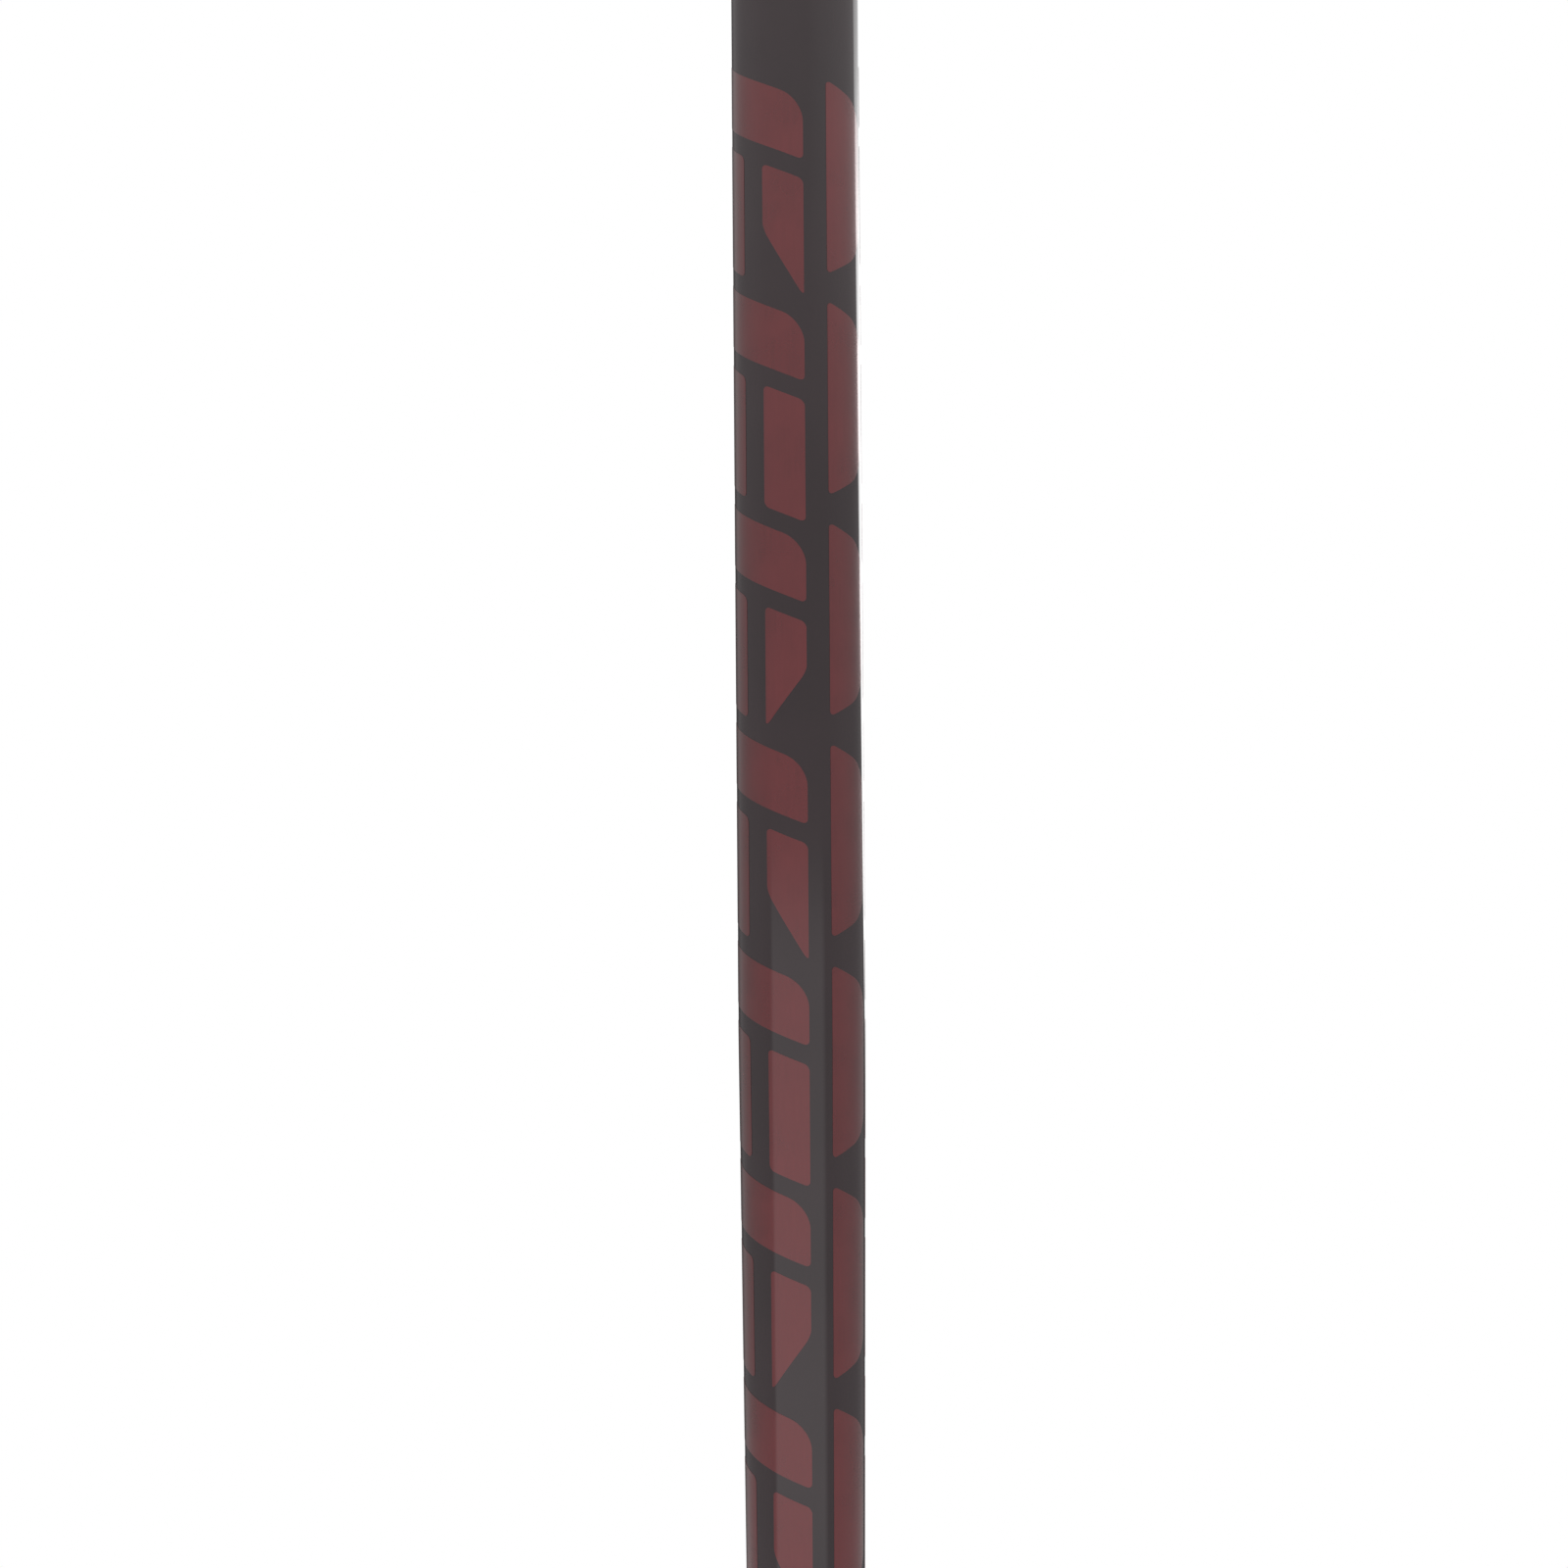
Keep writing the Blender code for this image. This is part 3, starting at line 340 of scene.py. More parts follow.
def shaft_paint():
    """Satin charcoal paint on a drawn tube: orange peel, faint drawing lines and a few hairline scuffs."""
    recipe = Recipe("charcoal_paint", 0.35, specular=0.0)
    varnish(recipe)
    drawn = recipe.noise(0.0006, 1.0, recipe.stretched((1.0, 1.0, 0.02)))
    hairlines = recipe.spread(recipe.noise(0.0004, 3.0, recipe.stretched((0.18, 0.18, 1.0))), 0.66, 0.74)
    low_down = recipe.spread(recipe.split(recipe.place)["Z"], -0.60, -0.95)
    scuffs = recipe.product(hairlines, low_down)
    cloudy = recipe.spread(recipe.noise(0.02, 3.0), 0.35, 0.65)
    recipe.colour(CHARCOAL_PAINT, 0.92, (cloudy, 1.08), (scuffs, 3.0))
    recipe.roughen(cloudy, 0.32, 0.38, recipe.product(scuffs, 0.2))
    return recipe.with_bumps((recipe.noise(0.0011), 0.000012), (drawn, 0.000004), (scuffs, 0.00001))


def print_ink():
    """Dark red metallic ink, slightly uneven, with the screen's fine grain."""
    recipe = Recipe("dark_red_ink", 0.30, metallic=0.8)
    varnish(recipe)
    patches = recipe.patches(0.006, 3.0)
    streaks = recipe.patches(0.0005, 2.0, recipe.stretched((1.0, 1.0, 0.05)))
    recipe.colour(DARK_RED_INK, 0.90, (patches, 1.10), (streaks, 1.02))
    recipe.roughen(patches, 0.27, 0.33)
    return recipe.with_bumps((recipe.noise(0.0011), 0.000012), (recipe.noise(0.00025, 1.0), 0.000004))


def moulded_plastic(name, colour, roughness):
    """Hard plastic out of an eroded mould: fine grain, flow marks, paler rubbed edges."""
    recipe = Recipe(name, roughness)
    flow = recipe.patches(0.009)
    worn = recipe.product(recipe.edges(), recipe.patches(0.0015, 3.0))
    recipe.colour(colour, 0.88, (flow, 1.12), (worn, 1.5))
    recipe.roughen(flow, roughness - 0.05, roughness + 0.05)
    return recipe.with_bumps((recipe.noise(0.00022, 3.0), 0.00002), (recipe.noise(0.004, 1.0), 0.00003))


def soft_rubber(name, colour, roughness=0.68):
    """Matt rubber with a pebbled skin, painted shade between the pebbles, and a little dust in it."""
    recipe = Recipe(name, roughness, specular=0.4)
    recipe.shade(Sheen_Weight=0.12, Sheen_Roughness=0.5)
    pebbles = recipe.pebbles(0.00055)
    dust = recipe.spread(recipe.noise(0.012, 4.0), 0.40, 0.72)
    # The pebbles' mask also darkens the colour between them: painted shade that follows the relief.
    recipe.colour(colour, 0.85, (dust, 1.35), (recipe.product(pebbles, 0.5), 0.6))
    recipe.roughen(dust, roughness - 0.08, roughness + 0.08)
    return recipe.with_bumps((pebbles, 0.00005), (recipe.noise(0.00018), 0.00001))


def webbing():
    """Polyester webbing in a herringbone twill, whose slanted ridges turn back every few millimetres, with
    painted highlight on the ridges and painted shade between them.
    """
    recipe = Recipe("woven_webbing", 0.82, specular=0.3)
    recipe.shade(Sheen_Weight=0.25, Sheen_Roughness=0.4)
    cloth = recipe.cloth()
    across, along, _ = recipe.split(cloth)
    slanted = recipe.total(along, recipe.maths("PINGPONG", across, 0.0031))
    ridges = recipe.spread(recipe.wave(slanted, 0.0016), -1.0, 1.0)
    fibres = recipe.noise(0.00012, 2.0, recipe.stretched((1.0, 0.12, 1.0), cloth))
    fuzzy = recipe.product(fibres, 0.35)
    faded = recipe.product(recipe.patches(0.015, 3.0, cloth), 0.3)
    # The ridges' mask also colours the yarn: lighter on the ridges as painted highlight, darker between
    # them as painted shade.
    recipe.colour(WEBBING_YARN, 0.45, (ridges, 1.35), (fuzzy, 2.2), (faded, 1.5))
    return recipe.with_bumps((ridges, 0.00022), (fibres, 0.00003))


def knitted_cover():
    """The padding's brushed knit: columns of tiny loops, with painted highlight on the loops and painted
    shade between them, and short nap.
    """
    recipe = Recipe("knitted_cover", 0.92, specular=0.25)
    recipe.shade(Sheen_Weight=0.4, Sheen_Roughness=0.55)
    across, along, _ = recipe.split(recipe.cloth())
    knit = recipe.product(recipe.wave(across, 0.0010), recipe.wave(along, 0.0008))
    loops = recipe.spread(knit, -1.0, 1.0)
    nap = recipe.noise(0.0002, 3.0)
    # The loops' mask also colours the knit: painted highlight on the loops and painted shade between them.
    recipe.colour(PAD_FABRIC, 0.6, (loops, 1.3), (recipe.product(nap, 0.4), 1.8))
    return recipe.with_bumps((loops, 0.00012), (nap, 0.00006))


def sewing_thread():
    """Twisted thread: fine slanted plies."""
    recipe = Recipe("sewing_thread", 0.6, specular=0.4)
    twist = recipe.noise(0.00020, 1.0, recipe.stretched((1.0, 2.0, 3.0)))
    recipe.colour(RED_THREAD, 0.5, (twist, 1.3))
    return recipe.with_bumps((twist, 0.00008))


def turned_steel(name, colour, roughness):
    """Bare steel with the rings that the lathe left, and a few darker stains."""
    recipe = Recipe(name, roughness, metallic=1.0)
    rings = recipe.noise(0.00018, 2.0, recipe.stretched((0.03, 0.03, 1.0)))
    stains = recipe.spread(recipe.noise(0.0025, 4.0), 0.52, 0.75)
    recipe.colour(colour, 0.85, (recipe.spread(rings, 0.3, 0.7), 1.1), (stains, 0.45))
    cut = recipe.spread(rings, 0.3, 0.7, roughness - 0.08, roughness + 0.04)
    recipe.shade(Roughness=recipe.total(cut, recipe.product(stains, 0.25)))
    return recipe.with_bumps((rings, 0.00001), (stains, 0.000008))


# ---- making pieces ----


def evenly(start, end, steps):
    """Values from start to end with that many even steps between them."""
    return [start + (end - start) * i / steps for i in range(steps + 1)]


def turns(count):
    """That many angles, evenly round a circle."""
    return evenly(0, 2 * pi, count)[:-1]


def skin(rings, hollow=False, bm=None):
    """A closed surface over rings of as many points each. A hollow one joins its last ring to its first."""
    if bm is None:
        bm = bmesh.new()
    loops = [[bm.verts.new(point) for point in ring] for ring in rings]
    pairs = list(zip(loops, loops[1:]))
    if hollow:
        pairs.append((loops[-1], loops[0]))
    else:
        bm.faces.new(loops[0])
        bm.faces.new(loops[-1])
    for low, high in pairs:
        for i in range(len(low)):
            bm.faces.new((low[i - 1], low[i], high[i], high[i - 1]))
    return bm


def upright(section, turn):
    """A section of (radius, height) points, stood at an angle round the shaft's axis."""
    return [(radius * cos(turn), radius * sin(turn), height) for radius, height in section]


def circle(radius, height, sides=ROUND, centre=(0, 0)):
    return [(centre[0] + radius * cos(t), centre[1] + radius * sin(t), height) for t in turns(sides)]


def turned(outline, sides=ROUND, hollow=False, centre=(0, 0)):
    """A round solid from an outline of (radius, height) points."""
    return skin([circle(radius, height, sides, centre) for radius, height in outline], hollow)


def filleted(corners, radius, steps=4, closed=True):
    """An outline of 2D points with its corners rounded off."""
    points = [Vector(corner) for corner in corners]
    count = len(points)
    smooth = []
    for i, here in enumerate(points):
        if not closed and i in (0, count - 1):
            smooth.append(tuple(here))
            continue
        back, ahead = points[i - 1] - here, points[(i + 1) % count] - here
        start = here + back.normalized() * min(radius, 0.45 * back.length)
        end = here + ahead.normalized() * min(radius, 0.45 * ahead.length)
        for t in evenly(0, 1, steps):
            smooth.append(tuple(start * (1 - t) ** 2 + here * 2 * t * (1 - t) + end * t**2))
    return smooth


def rim_share(u, v, squareness):
    """0 in the middle of a superellipse and 1 on its border."""
    return (abs(u) ** squareness + abs(v) ** squareness) ** (1 / squareness)


def oval_grid(rows, columns, squareness):
    """A grid of (u, v) points from -1 to 1 whose border is a superellipse."""

    def pulled_in(u, v):
        reach = rim_share(u, v, squareness)
        shrink = max(abs(u), abs(v)) / reach if reach else 1.0
        return u * shrink, v * shrink

    return [[pulled_in(u, v) for v in evenly(-1, 1, columns)] for u in evenly(-1, 1, rows)]


def plate(rows, columns, squareness, points_at):
    """A closed oval plate. points_at(u, v, rim) gives a point of its upper face and the one under it."""
    bm = bmesh.new()
    grid = oval_grid(rows, columns, squareness)
    pairs = [[points_at(u, v, rim_share(u, v, squareness)) for u, v in line] for line in grid]
    upper, lower = ([[bm.verts.new(pair[side]) for pair in line] for line in pairs] for side in (0, 1))
    for face in (upper, lower):
        for here, there in zip(face, face[1:]):
            for j in range(columns):
                bm.faces.new((here[j], here[j + 1], there[j + 1], there[j]))
    border = [(0, j) for j in range(columns)]
    border += [(i, columns) for i in range(rows)]
    border += [(rows, j) for j in range(columns, 0, -1)]
    border += [(i, 0) for i in range(rows, 0, -1)]
    for (i, j), (k, m) in zip(border, border[1:] + border[:1]):
        bm.faces.new((upper[i][j], upper[k][m], lower[k][m], lower[i][j]))
    return bm


def smoothstep(value, low, high):
    t = max(0.0, min(1.0, (value - low) / (high - low)))
    return t * t * (3 - 2 * t)


def repeated(place, pitch, low, high):
    """0 and 1 by turns, once every pitch. It rises where the cosine goes from low to high."""
    return smoothstep(cos(2 * pi * place / pitch), low, high)


def mesh_from(name, bm):
    bmesh.ops.recalc_face_normals(bm, faces=bm.faces)
    bmesh.ops.translate(bm, verts=bm.verts, vec=(0, 0, TIP_LEVEL))
    mesh = bpy.data.meshes.new(name)
    bm.to_mesh(mesh)
    bm.free()
    return mesh


def put_in_scene(name, data):
    made = bpy.data.objects.new(name, data)
    bpy.context.scene.collection.objects.link(made)
    return made


def add_piece(name, bm, material, slot, body, *replaces):
    """Puts a mesh drawn in heights above the tip into the frame. A piece without a body is left unattached.
    """
    piece = put_in_scene(name, mesh_from(name, bm))
    piece.data.materials.append(material)
    soften(piece)
    if replaces:
        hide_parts(*replaces)
    if body:
        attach(piece, body)
    return piece


def soften(piece):
    """Smooth shading with sharp edges only where the surface really turns a corner."""
    piece.data.shade_smooth()
    piece.data.set_sharp_from_angle(angle=SHARP_ANGLE)


def modify(piece, kind, **settings):
    modifier = piece.modifiers.new(kind, kind)
    for name, value in settings.items():
        setattr(modifier, name, value)


def settle(piece):
    """Makes what a piece's modifiers show its real mesh."""
    bpy.context.view_layer.update()
    evaluated = piece.evaluated_get(bpy.context.evaluated_depsgraph_get())
    settled = bpy.data.meshes.new_from_object(evaluated)
    piece.modifiers.clear()
    piece.data = settled
    soften(piece)


def carve(piece, cutters):
    """Takes closed shapes out of a piece."""
    helpers = [put_in_scene("cutter", mesh_from("cutter", bm)) for bm in cutters]
    for helper in helpers:
        modify(piece, "BOOLEAN", operation="DIFFERENCE", solver="EXACT", object=helper)
    settle(piece)
    for helper in helpers:
        bpy.data.objects.remove(helper)


def bevel(piece, width, segments, angle):
    """Rounds the edges of a piece that turn by more than an angle."""
    modify(piece, "BEVEL", width=width, segments=segments, limit_method="ANGLE", angle_limit=angle)
    settle(piece)


# ---- curves ----


def arc(centre, radius, start, end, steps):
    """Points (x, z) along an arc, from one angle to another, in degrees."""
    angles = [radians(angle) for angle in evenly(start, end, steps)]
    return [(centre[0] + radius * cos(a), centre[1] + radius * sin(a)) for a in angles]


def smooth_through(points, steps):
    """Points on a Catmull-Rom curve that passes through each of the given ones, with steps between two."""
    points = [Vector(p) for p in points]
    ends = [2 * points[0] - points[1], *points, 2 * points[-1] - points[-2]]
    curve = []
    for a, b, c, d in zip(ends, ends[1:], ends[2:], ends[3:]):
        for t in evenly(0, 1, steps)[:-1]:
            linear = (c - a) * t
            square = (2 * a - 5 * b + 4 * c - d) * t**2
            cube = (3 * b - a - 3 * c + d) * t**3
            curve.append(tuple(0.5 * (2 * b + linear + square + cube)))
    return curve + [tuple(points[-1])]


class Path:
    """A route of (x, z) points, its long steps split, that can be asked for any place along it."""

    def __init__(self, points):
        self.route = [Vector(points[0])]
        for start, end in zip(points, points[1:]):
            parts = max(1, ceil(hypot(end[0] - start[0], end[1] - start[1]) / ROUTE_STEP))
            for share in evenly(0, 1, parts)[1:]:
                self.route.append(Vector([a + (b - a) * share for a, b in zip(start, end)]))
        self.lengths = [0.0]
        for start, end in zip(self.route, self.route[1:]):
            self.lengths.append(self.lengths[-1] + (end - start).length)
        self.length = self.lengths[-1]
        self.lefts = []
        for i in range(len(self.route)):
            ahead = self.route[min(i + 1, len(self.route) - 1)] - self.route[max(i - 1, 0)]
            self.lefts.append(Vector((-ahead.y, ahead.x)).normalized())

    def place(self, length, y, left):
        """A point in space: along the path, across it and to its left."""
        length = max(0.0, min(self.length, length))
        i = max(0, min(len(self.lengths) - 2, sum(known <= length for known in self.lengths) - 1))
        share = (length - self.lengths[i]) / (self.lengths[i + 1] - self.lengths[i])
        side = self.lefts[i].lerp(self.lefts[i + 1], share).normalized()
        x, z = self.route[i].lerp(self.route[i + 1], share) + side * left
        return x, y, z


# ---- shaft ----


def shaft_radius(height):
    """Outer radius of the shaft: straight above TAPER_TOP, and a long cone below it."""
    share = max(0.0, (TAPER_TOP - height) / (TAPER_TOP - SHAFT_FOOT))
    return SHAFT_RADIUS - share * (SHAFT_RADIUS - SHAFT_FOOT_RADIUS)


def make_shaft(paint):
    round_taper = [TAPER_TOP - 0.01, TAPER_TOP, TAPER_TOP + 0.01]
    heights = [SHAFT_FOOT, 0.20, 0.35, 0.50, *round_taper, 0.80, 1.0, SHAFT_TOP]
    outer = [(shaft_radius(h), h) for h in heights]
    inner = [(radius - SHAFT_WALL, h) for radius, h in reversed(outer)]
    add_piece("shaft_skin", turned(outer + inner, 160, True), paint, "shaft_paint", "pole", "shaft_tube")


# The print is a band of plain slanted blocks in three columns, the same on the front and the back. Each
# row of it has a wide block over a left and a middle one, with a long one at their right.
PRINT_TOP = 0.7231
PRINT_FOOT = 0.4500
PRINT_REPEAT = pi * SHAFT_RADIUS
ROW_PITCH = 0.0310
BLOCK_GAP = 0.0027
WIDE_HEIGHT = 0.0086
TALL_HEIGHT = ROW_PITCH - WIDE_HEIGHT - 2 * BLOCK_GAP
LEFT_EDGES = (-0.0146, -0.0085)
MIDDLE_EDGES = (-0.0050, 0.0010)
RIGHT_EDGES = (0.0044, 0.0118)
TILT = 0.40  # how far a slanted edge drops for each step to the right
MIDDLE_FEET = [(0.0090, 1.65), (TALL_HEIGHT, TILT), (TALL_HEIGHT, -1.30)]  # (height, foot's tilt) in turn
RIGHT_DROP = 0.0035
RIGHT_HEIGHT = 0.0272
RIGHT_TILTS = (0.45, -0.45)
CORNER = 0.0008
ROUND_CORNER = 0.0032
THINNEST_INK = 0.0002


def print_row(row):
    """One row's blocks: (edges, top, height, tilts) and the radii of any rounder corners."""
    top = PRINT_TOP - row * ROW_PITCH
    low = top - WIDE_HEIGHT - BLOCK_GAP
    middle_low = low - TILT * (MIDDLE_EDGES[0] - LEFT_EDGES[0])
    foot_height, foot_tilt = MIDDLE_FEET[row % len(MIDDLE_FEET)]
    return [
        ((LEFT_EDGES[0], MIDDLE_EDGES[1]), top, WIDE_HEIGHT, (TILT, TILT), ROUND_CORNER),
        (LEFT_EDGES, low, TALL_HEIGHT, (TILT, TILT)),
        (MIDDLE_EDGES, middle_low, foot_height, (TILT, foot_tilt)),
        (RIGHT_EDGES, top - RIGHT_DROP, RIGHT_HEIGHT, RIGHT_TILTS, ROUND_CORNER, ROUND_CORNER),
    ]


def corner_cut(from_side, radius):
    """How far a rounded corner has drawn an edge back at a distance from the block's side."""
    return radius - sqrt(max(0.0, radius**2 - max(0.0, radius - from_side) ** 2))


def block_columns(left, right, right_corner):
    """Places across a block, close together where its corners are rounded."""
    eased = [1 - cos(turn) for turn in evenly(0, pi / 2, 10)]
    start, end = left + CORNER, right - right_corner
    count = max(2, round((end - start) / 0.0005))
    columns = [left + CORNER * share for share in eased] + evenly(start, end, count)[1:-1]
    return columns + [right - right_corner * share for share in reversed(eased)]


def ink_block(edges, top, height, tilts, upper_corner=CORNER, lower_corner=CORNER):
    """A block of ink between two arc lengths round the shaft. The two radii are of its right corners."""
    left, right = edges
    rings = []
    for place in block_columns(left, right, max(upper_corner, lower_corner)):
        from_left, from_right = place - left, right - place
        left_cut = corner_cut(from_left, CORNER)
        high = top - tilts[0] * from_left - max(left_cut, corner_cut(from_right, upper_corner))
        low = top - height - tilts[1] * from_left + max(left_cut, corner_cut(from_right, lower_corner))
        if high - low < THINNEST_INK:
            middle = (high + low) / 2
            high, low = middle + THINNEST_INK / 2, middle - THINNEST_INK / 2
        levels = evenly(high, low, 6)
        section = [(shaft_radius(level) + INK_RISE, level) for level in levels]
        section += [(shaft_radius(level) - INK_ROOT, level) for level in reversed(levels)]
        rings.append(upright(section, place / SHAFT_RADIUS - pi / 2))
    return rings


def make_print(ink):
    """The shaft's graphic, from its first row under PRINT_TOP down to PRINT_FOOT."""
    bm = bmesh.new()
    for repeat in (0.0, PRINT_REPEAT):
        for row in range(floor((PRINT_TOP - PRINT_FOOT) / ROW_PITCH)):
            for edges, *block in print_row(row):
                skin(ink_block([edge + repeat for edge in edges], *block), bm=bm)
    add_piece("shaft_graphic", bm, ink, "shaft_paint", "pole")


# ---- ferrule, tip and basket ----


def make_ferrule(plastic):
    """The moulded foot: a cone for the tip, a seat for the basket and a ribbed sleeve for the shaft."""
    groove_foot = SEAT_FOOT - CLIP_HEIGHT - 2 * FIT_GAP
    groove = SEAT_RADIUS - CLIP_GROOVE_DEPTH
    sleeve_foot_radius = SEAT_RADIUS + 0.0014
    sleeve_top_radius = shaft_radius(FERRULE_TOP) + FIT_GAP + FERRULE_WALL
    slope = (sleeve_foot_radius - sleeve_top_radius) / (FERRULE_TOP - SEAT_TOP)
    outline = [
        (0.0047, FERRULE_FOOT),
        (0.0053, FERRULE_FOOT + 0.0008),
        (0.0066, 0.0260),
        (0.0076, 0.0400),
        (SEAT_RADIUS, groove_foot - 0.0030),
        (SEAT_RADIUS, groove_foot),
        (groove, groove_foot),
        (groove, SEAT_FOOT),
        (SEAT_RADIUS, SEAT_FOOT),
        (SEAT_RADIUS, SEAT_TOP),
        (SEAT_RADIUS + 0.0030, SEAT_TOP),
        (SEAT_RADIUS + 0.0030, SEAT_TOP + 0.0022),
        (SEAT_RADIUS + 0.0016, SEAT_TOP + 0.0036),
    ]
    for i in range(RIB_COUNT):
        foot = FIRST_RIB + i * RIB_PITCH
        wall = sleeve_foot_radius - slope * (foot - SEAT_TOP)
        outline += [(wall, foot), (wall + RIB_RISE, foot + 0.0006)]
        outline += [(wall + RIB_RISE, foot + 0.0024), (wall - 0.0001, foot + 0.0030)]
    outline += [
        (sleeve_top_radius, FERRULE_TOP - 0.0012),
        (sleeve_top_radius - 0.0008, FERRULE_TOP),
        (shaft_radius(FERRULE_TOP) + FIT_GAP, FERRULE_TOP),
        (shaft_radius(SHAFT_FOOT) + FIT_GAP, SHAFT_FOOT - FIT_GAP),
        (SHANK_RADIUS + FIT_GAP, SHANK_TOP + 0.0040),
        (SHANK_RADIUS + FIT_GAP, FERRULE_FOOT),
    ]
    bm = turned(filleted(outline, 0.00045), hollow=True)
    add_piece("ferrule_moulding", bm, plastic, "hard_plastic", "pole", "ferrule")


def make_tip(steel):
    """The hardened crown, with its eight teeth ground as grooves across the rim."""
    shoulder = FERRULE_FOOT - FIT_GAP
    outline = [
        (0.0006, CROWN_DISH + 0.0002),
        (0.0016, CROWN_DISH),
        (0.0029, 0.0),
        (CROWN_RADIUS - 0.0002, 0.0),
        (CROWN_RADIUS, 0.0003),
        (CROWN_RADIUS, 0.0072),
        (CROWN_RADIUS - 0.0005, shoulder),
        (SHANK_RADIUS, shoulder),
        (SHANK_RADIUS, SHANK_TOP - 0.0008),
        (SHANK_RADIUS - 0.0006, SHANK_TOP),
    ]
    bm = turned(filleted(outline, 0.0002, 3, closed=False), 96)
    tip = add_piece("tip_crown", bm, steel, "tip_steel", "pole", "tip_insert")
    grooves = []
    for i in range(CROWN_TEETH):
        turn = 2 * pi * (i + 0.5) / CROWN_TEETH
        out, across = Vector((cos(turn), sin(turn), 0)), Vector((-sin(turn), cos(turn), 0))
        section = [Vector((0, 0, -0.0005)) + across * side for side in (-0.0010, 0.0010)]
        section.append(Vector((0, 0, 0.0010)))
        grooves.append(skin([[out * reach + corner for corner in section] for reach in (0.0019, 0.0050)]))
    carve(tip, grooves)


def make_basket_clip(steel):
    """The open spring ring below the hub, rolled from wire with rounded corners."""
    inner = SEAT_RADIUS - CLIP_GROOVE_DEPTH + FIT_GAP
    outer = inner + CLIP_WIDTH
    low = SEAT_FOOT - CLIP_HEIGHT - FIT_GAP
    high = low + CLIP_HEIGHT
    section = filleted([(inner, low), (outer, low), (outer, high), (inner, high)], 0.0004)
    half_ring = pi - radians(20)
    bm = skin([upright(section, turn) for turn in evenly(-half_ring, half_ring, 96)])
    add_piece("basket_spring_ring", bm, steel, "spring_steel", "pole", "basket_clip")


def make_basket_hub(plastic):
    low, high = SEAT_FOOT + FIT_GAP, SEAT_TOP - FIT_GAP
    flange = HUB_RADIUS + HUB_FLANGE
    outline = [
        (HUB_BORE, low),
        (HUB_RADIUS, low),
        (HUB_RADIUS, FLANGE_FOOT),
        (flange, FLANGE_FOOT),
        (flange, FLANGE_TOP),
        (HUB_RADIUS, FLANGE_TOP),
        (HUB_RADIUS, high),
        (HUB_BORE, high),
    ]
    bm = turned(filleted(outline, 0.0005), hollow=True)
    add_piece("basket_hub_moulding", bm, plastic, "hard_plastic", "basket", "basket_hub")


# The disc's upper and lower faces: (radius, lower height, upper height), from the hub out to the rim.
DISC_PROFILE = [
    (HUB_RADIUS + FIT_GAP, 0.0540, 0.0634),
    (0.0126, 0.0539, 0.0636),
    (0.0155, 0.0540, 0.0632),
    (0.0168, 0.0543, 0.0616),
    (0.0176, 0.0547, 0.0592),
    (0.0184, 0.0550, 0.0584),
    (WINDOW_INNER, 0.0550, 0.0583),
    (0.0205, 0.0548, 0.0580),
    (0.0225, 0.0546, 0.0577),
    (0.0243, 0.0543, 0.0575),
    (WINDOW_OUTER, 0.0540, 0.0573),
    (0.0266, 0.0530, 0.0573),
    (0.0280, 0.0524, 0.0567),
    (0.0292, 0.0523, 0.0560),
    (BASKET_RADIUS, 0.0528, 0.0554),
]
WINDOW_ROWS = range(6, 10)  # the steps of that profile which a window leaves out
SPOKE_TURNS = [-8, -6.5, -4.5, -2.2, 0, 2.2, 4.5, 6.5, 8, 11, 17, 24, 30, 36, 43, 49]
SPOKE_STEPS = 8  # of those turns, the ones that lie on the spoke


def rim_dent(degrees_from_spoke):
    """How much nearer the rim is to the centre at the notch in front of a spoke."""
    aside = BASKET_RADIUS * radians(degrees_from_spoke)
    if abs(aside) >= RIM_NOTCH_RADIUS:
        return 0.0
    return max(0.0, sqrt(RIM_NOTCH_RADIUS**2 - aside**2) - (RIM_NOTCH_RADIUS - RIM_NOTCH_DEPTH))


def disc_column(turn, from_spoke):
    """The disc's lower and upper points along one of its radii, with the spoke's rib on the upper ones."""
    lower, upper = [], []
    for radius, low, high in DISC_PROFILE:
        radius -= smoothstep(radius, 0.0262, BASKET_RADIUS) * rim_dent(from_spoke)
        rib = 0.0007 * smoothstep(4.4 - abs(from_spoke), 0.0, 2.2)
        rib *= smoothstep(radius, 0.0172, 0.0190) * smoothstep(0.0275 - radius, 0.0, 0.0015)
        lower.append((radius, low))
        upper.append((radius, high + rib))
    return upright(lower, radians(turn)), upright(upper, radians(turn))


def make_basket_disc(rubber):
    """The soft disc: a dished rim on six ribbed spokes, rounded everywhere as moulded rubber is."""
    bm = bmesh.new()
    lower, upper = [], []
    for spoke in range(BASKET_SPOKES):
        for turn in SPOKE_TURNS:
            for grid, column in zip((lower, upper), disc_column(360 / BASKET_SPOKES * spoke + turn, turn)):
                grid.append([bm.verts.new(point) for point in column])
    count, rows = len(lower), len(DISC_PROFILE) - 1

    def solid(turn, row):
        on_spoke = turn % len(SPOKE_TURNS) < SPOKE_STEPS
        return 0 <= row < rows and (on_spoke or row not in WINDOW_ROWS)

    for i in range(count):
        j = (i + 1) % count
        for row in filter(lambda row: solid(i, row), range(rows)):
            for grid in (lower, upper):
                bm.faces.new((grid[i][row], grid[j][row], grid[j][row + 1], grid[i][row + 1]))
            walls = [
                (solid(i, row - 1), i, row, j, row),
                (solid(i, row + 1), i, row + 1, j, row + 1),
                (solid(i - 1, row), i, row, i, row + 1),
                (solid(j, row), j, row, j, row + 1),
            ]
            for joined, a, p, b, q in walls:
                if not joined:
                    bm.faces.new((lower[a][p], lower[b][q], upper[b][q], upper[a][p]))
    disc = add_piece("basket_disc_moulding", bm, rubber, "basket_rubber", "basket", "basket_disc")
    modify(disc, "SUBSURF", levels=2, render_levels=2)
    settle(disc)


# ---- grip ----


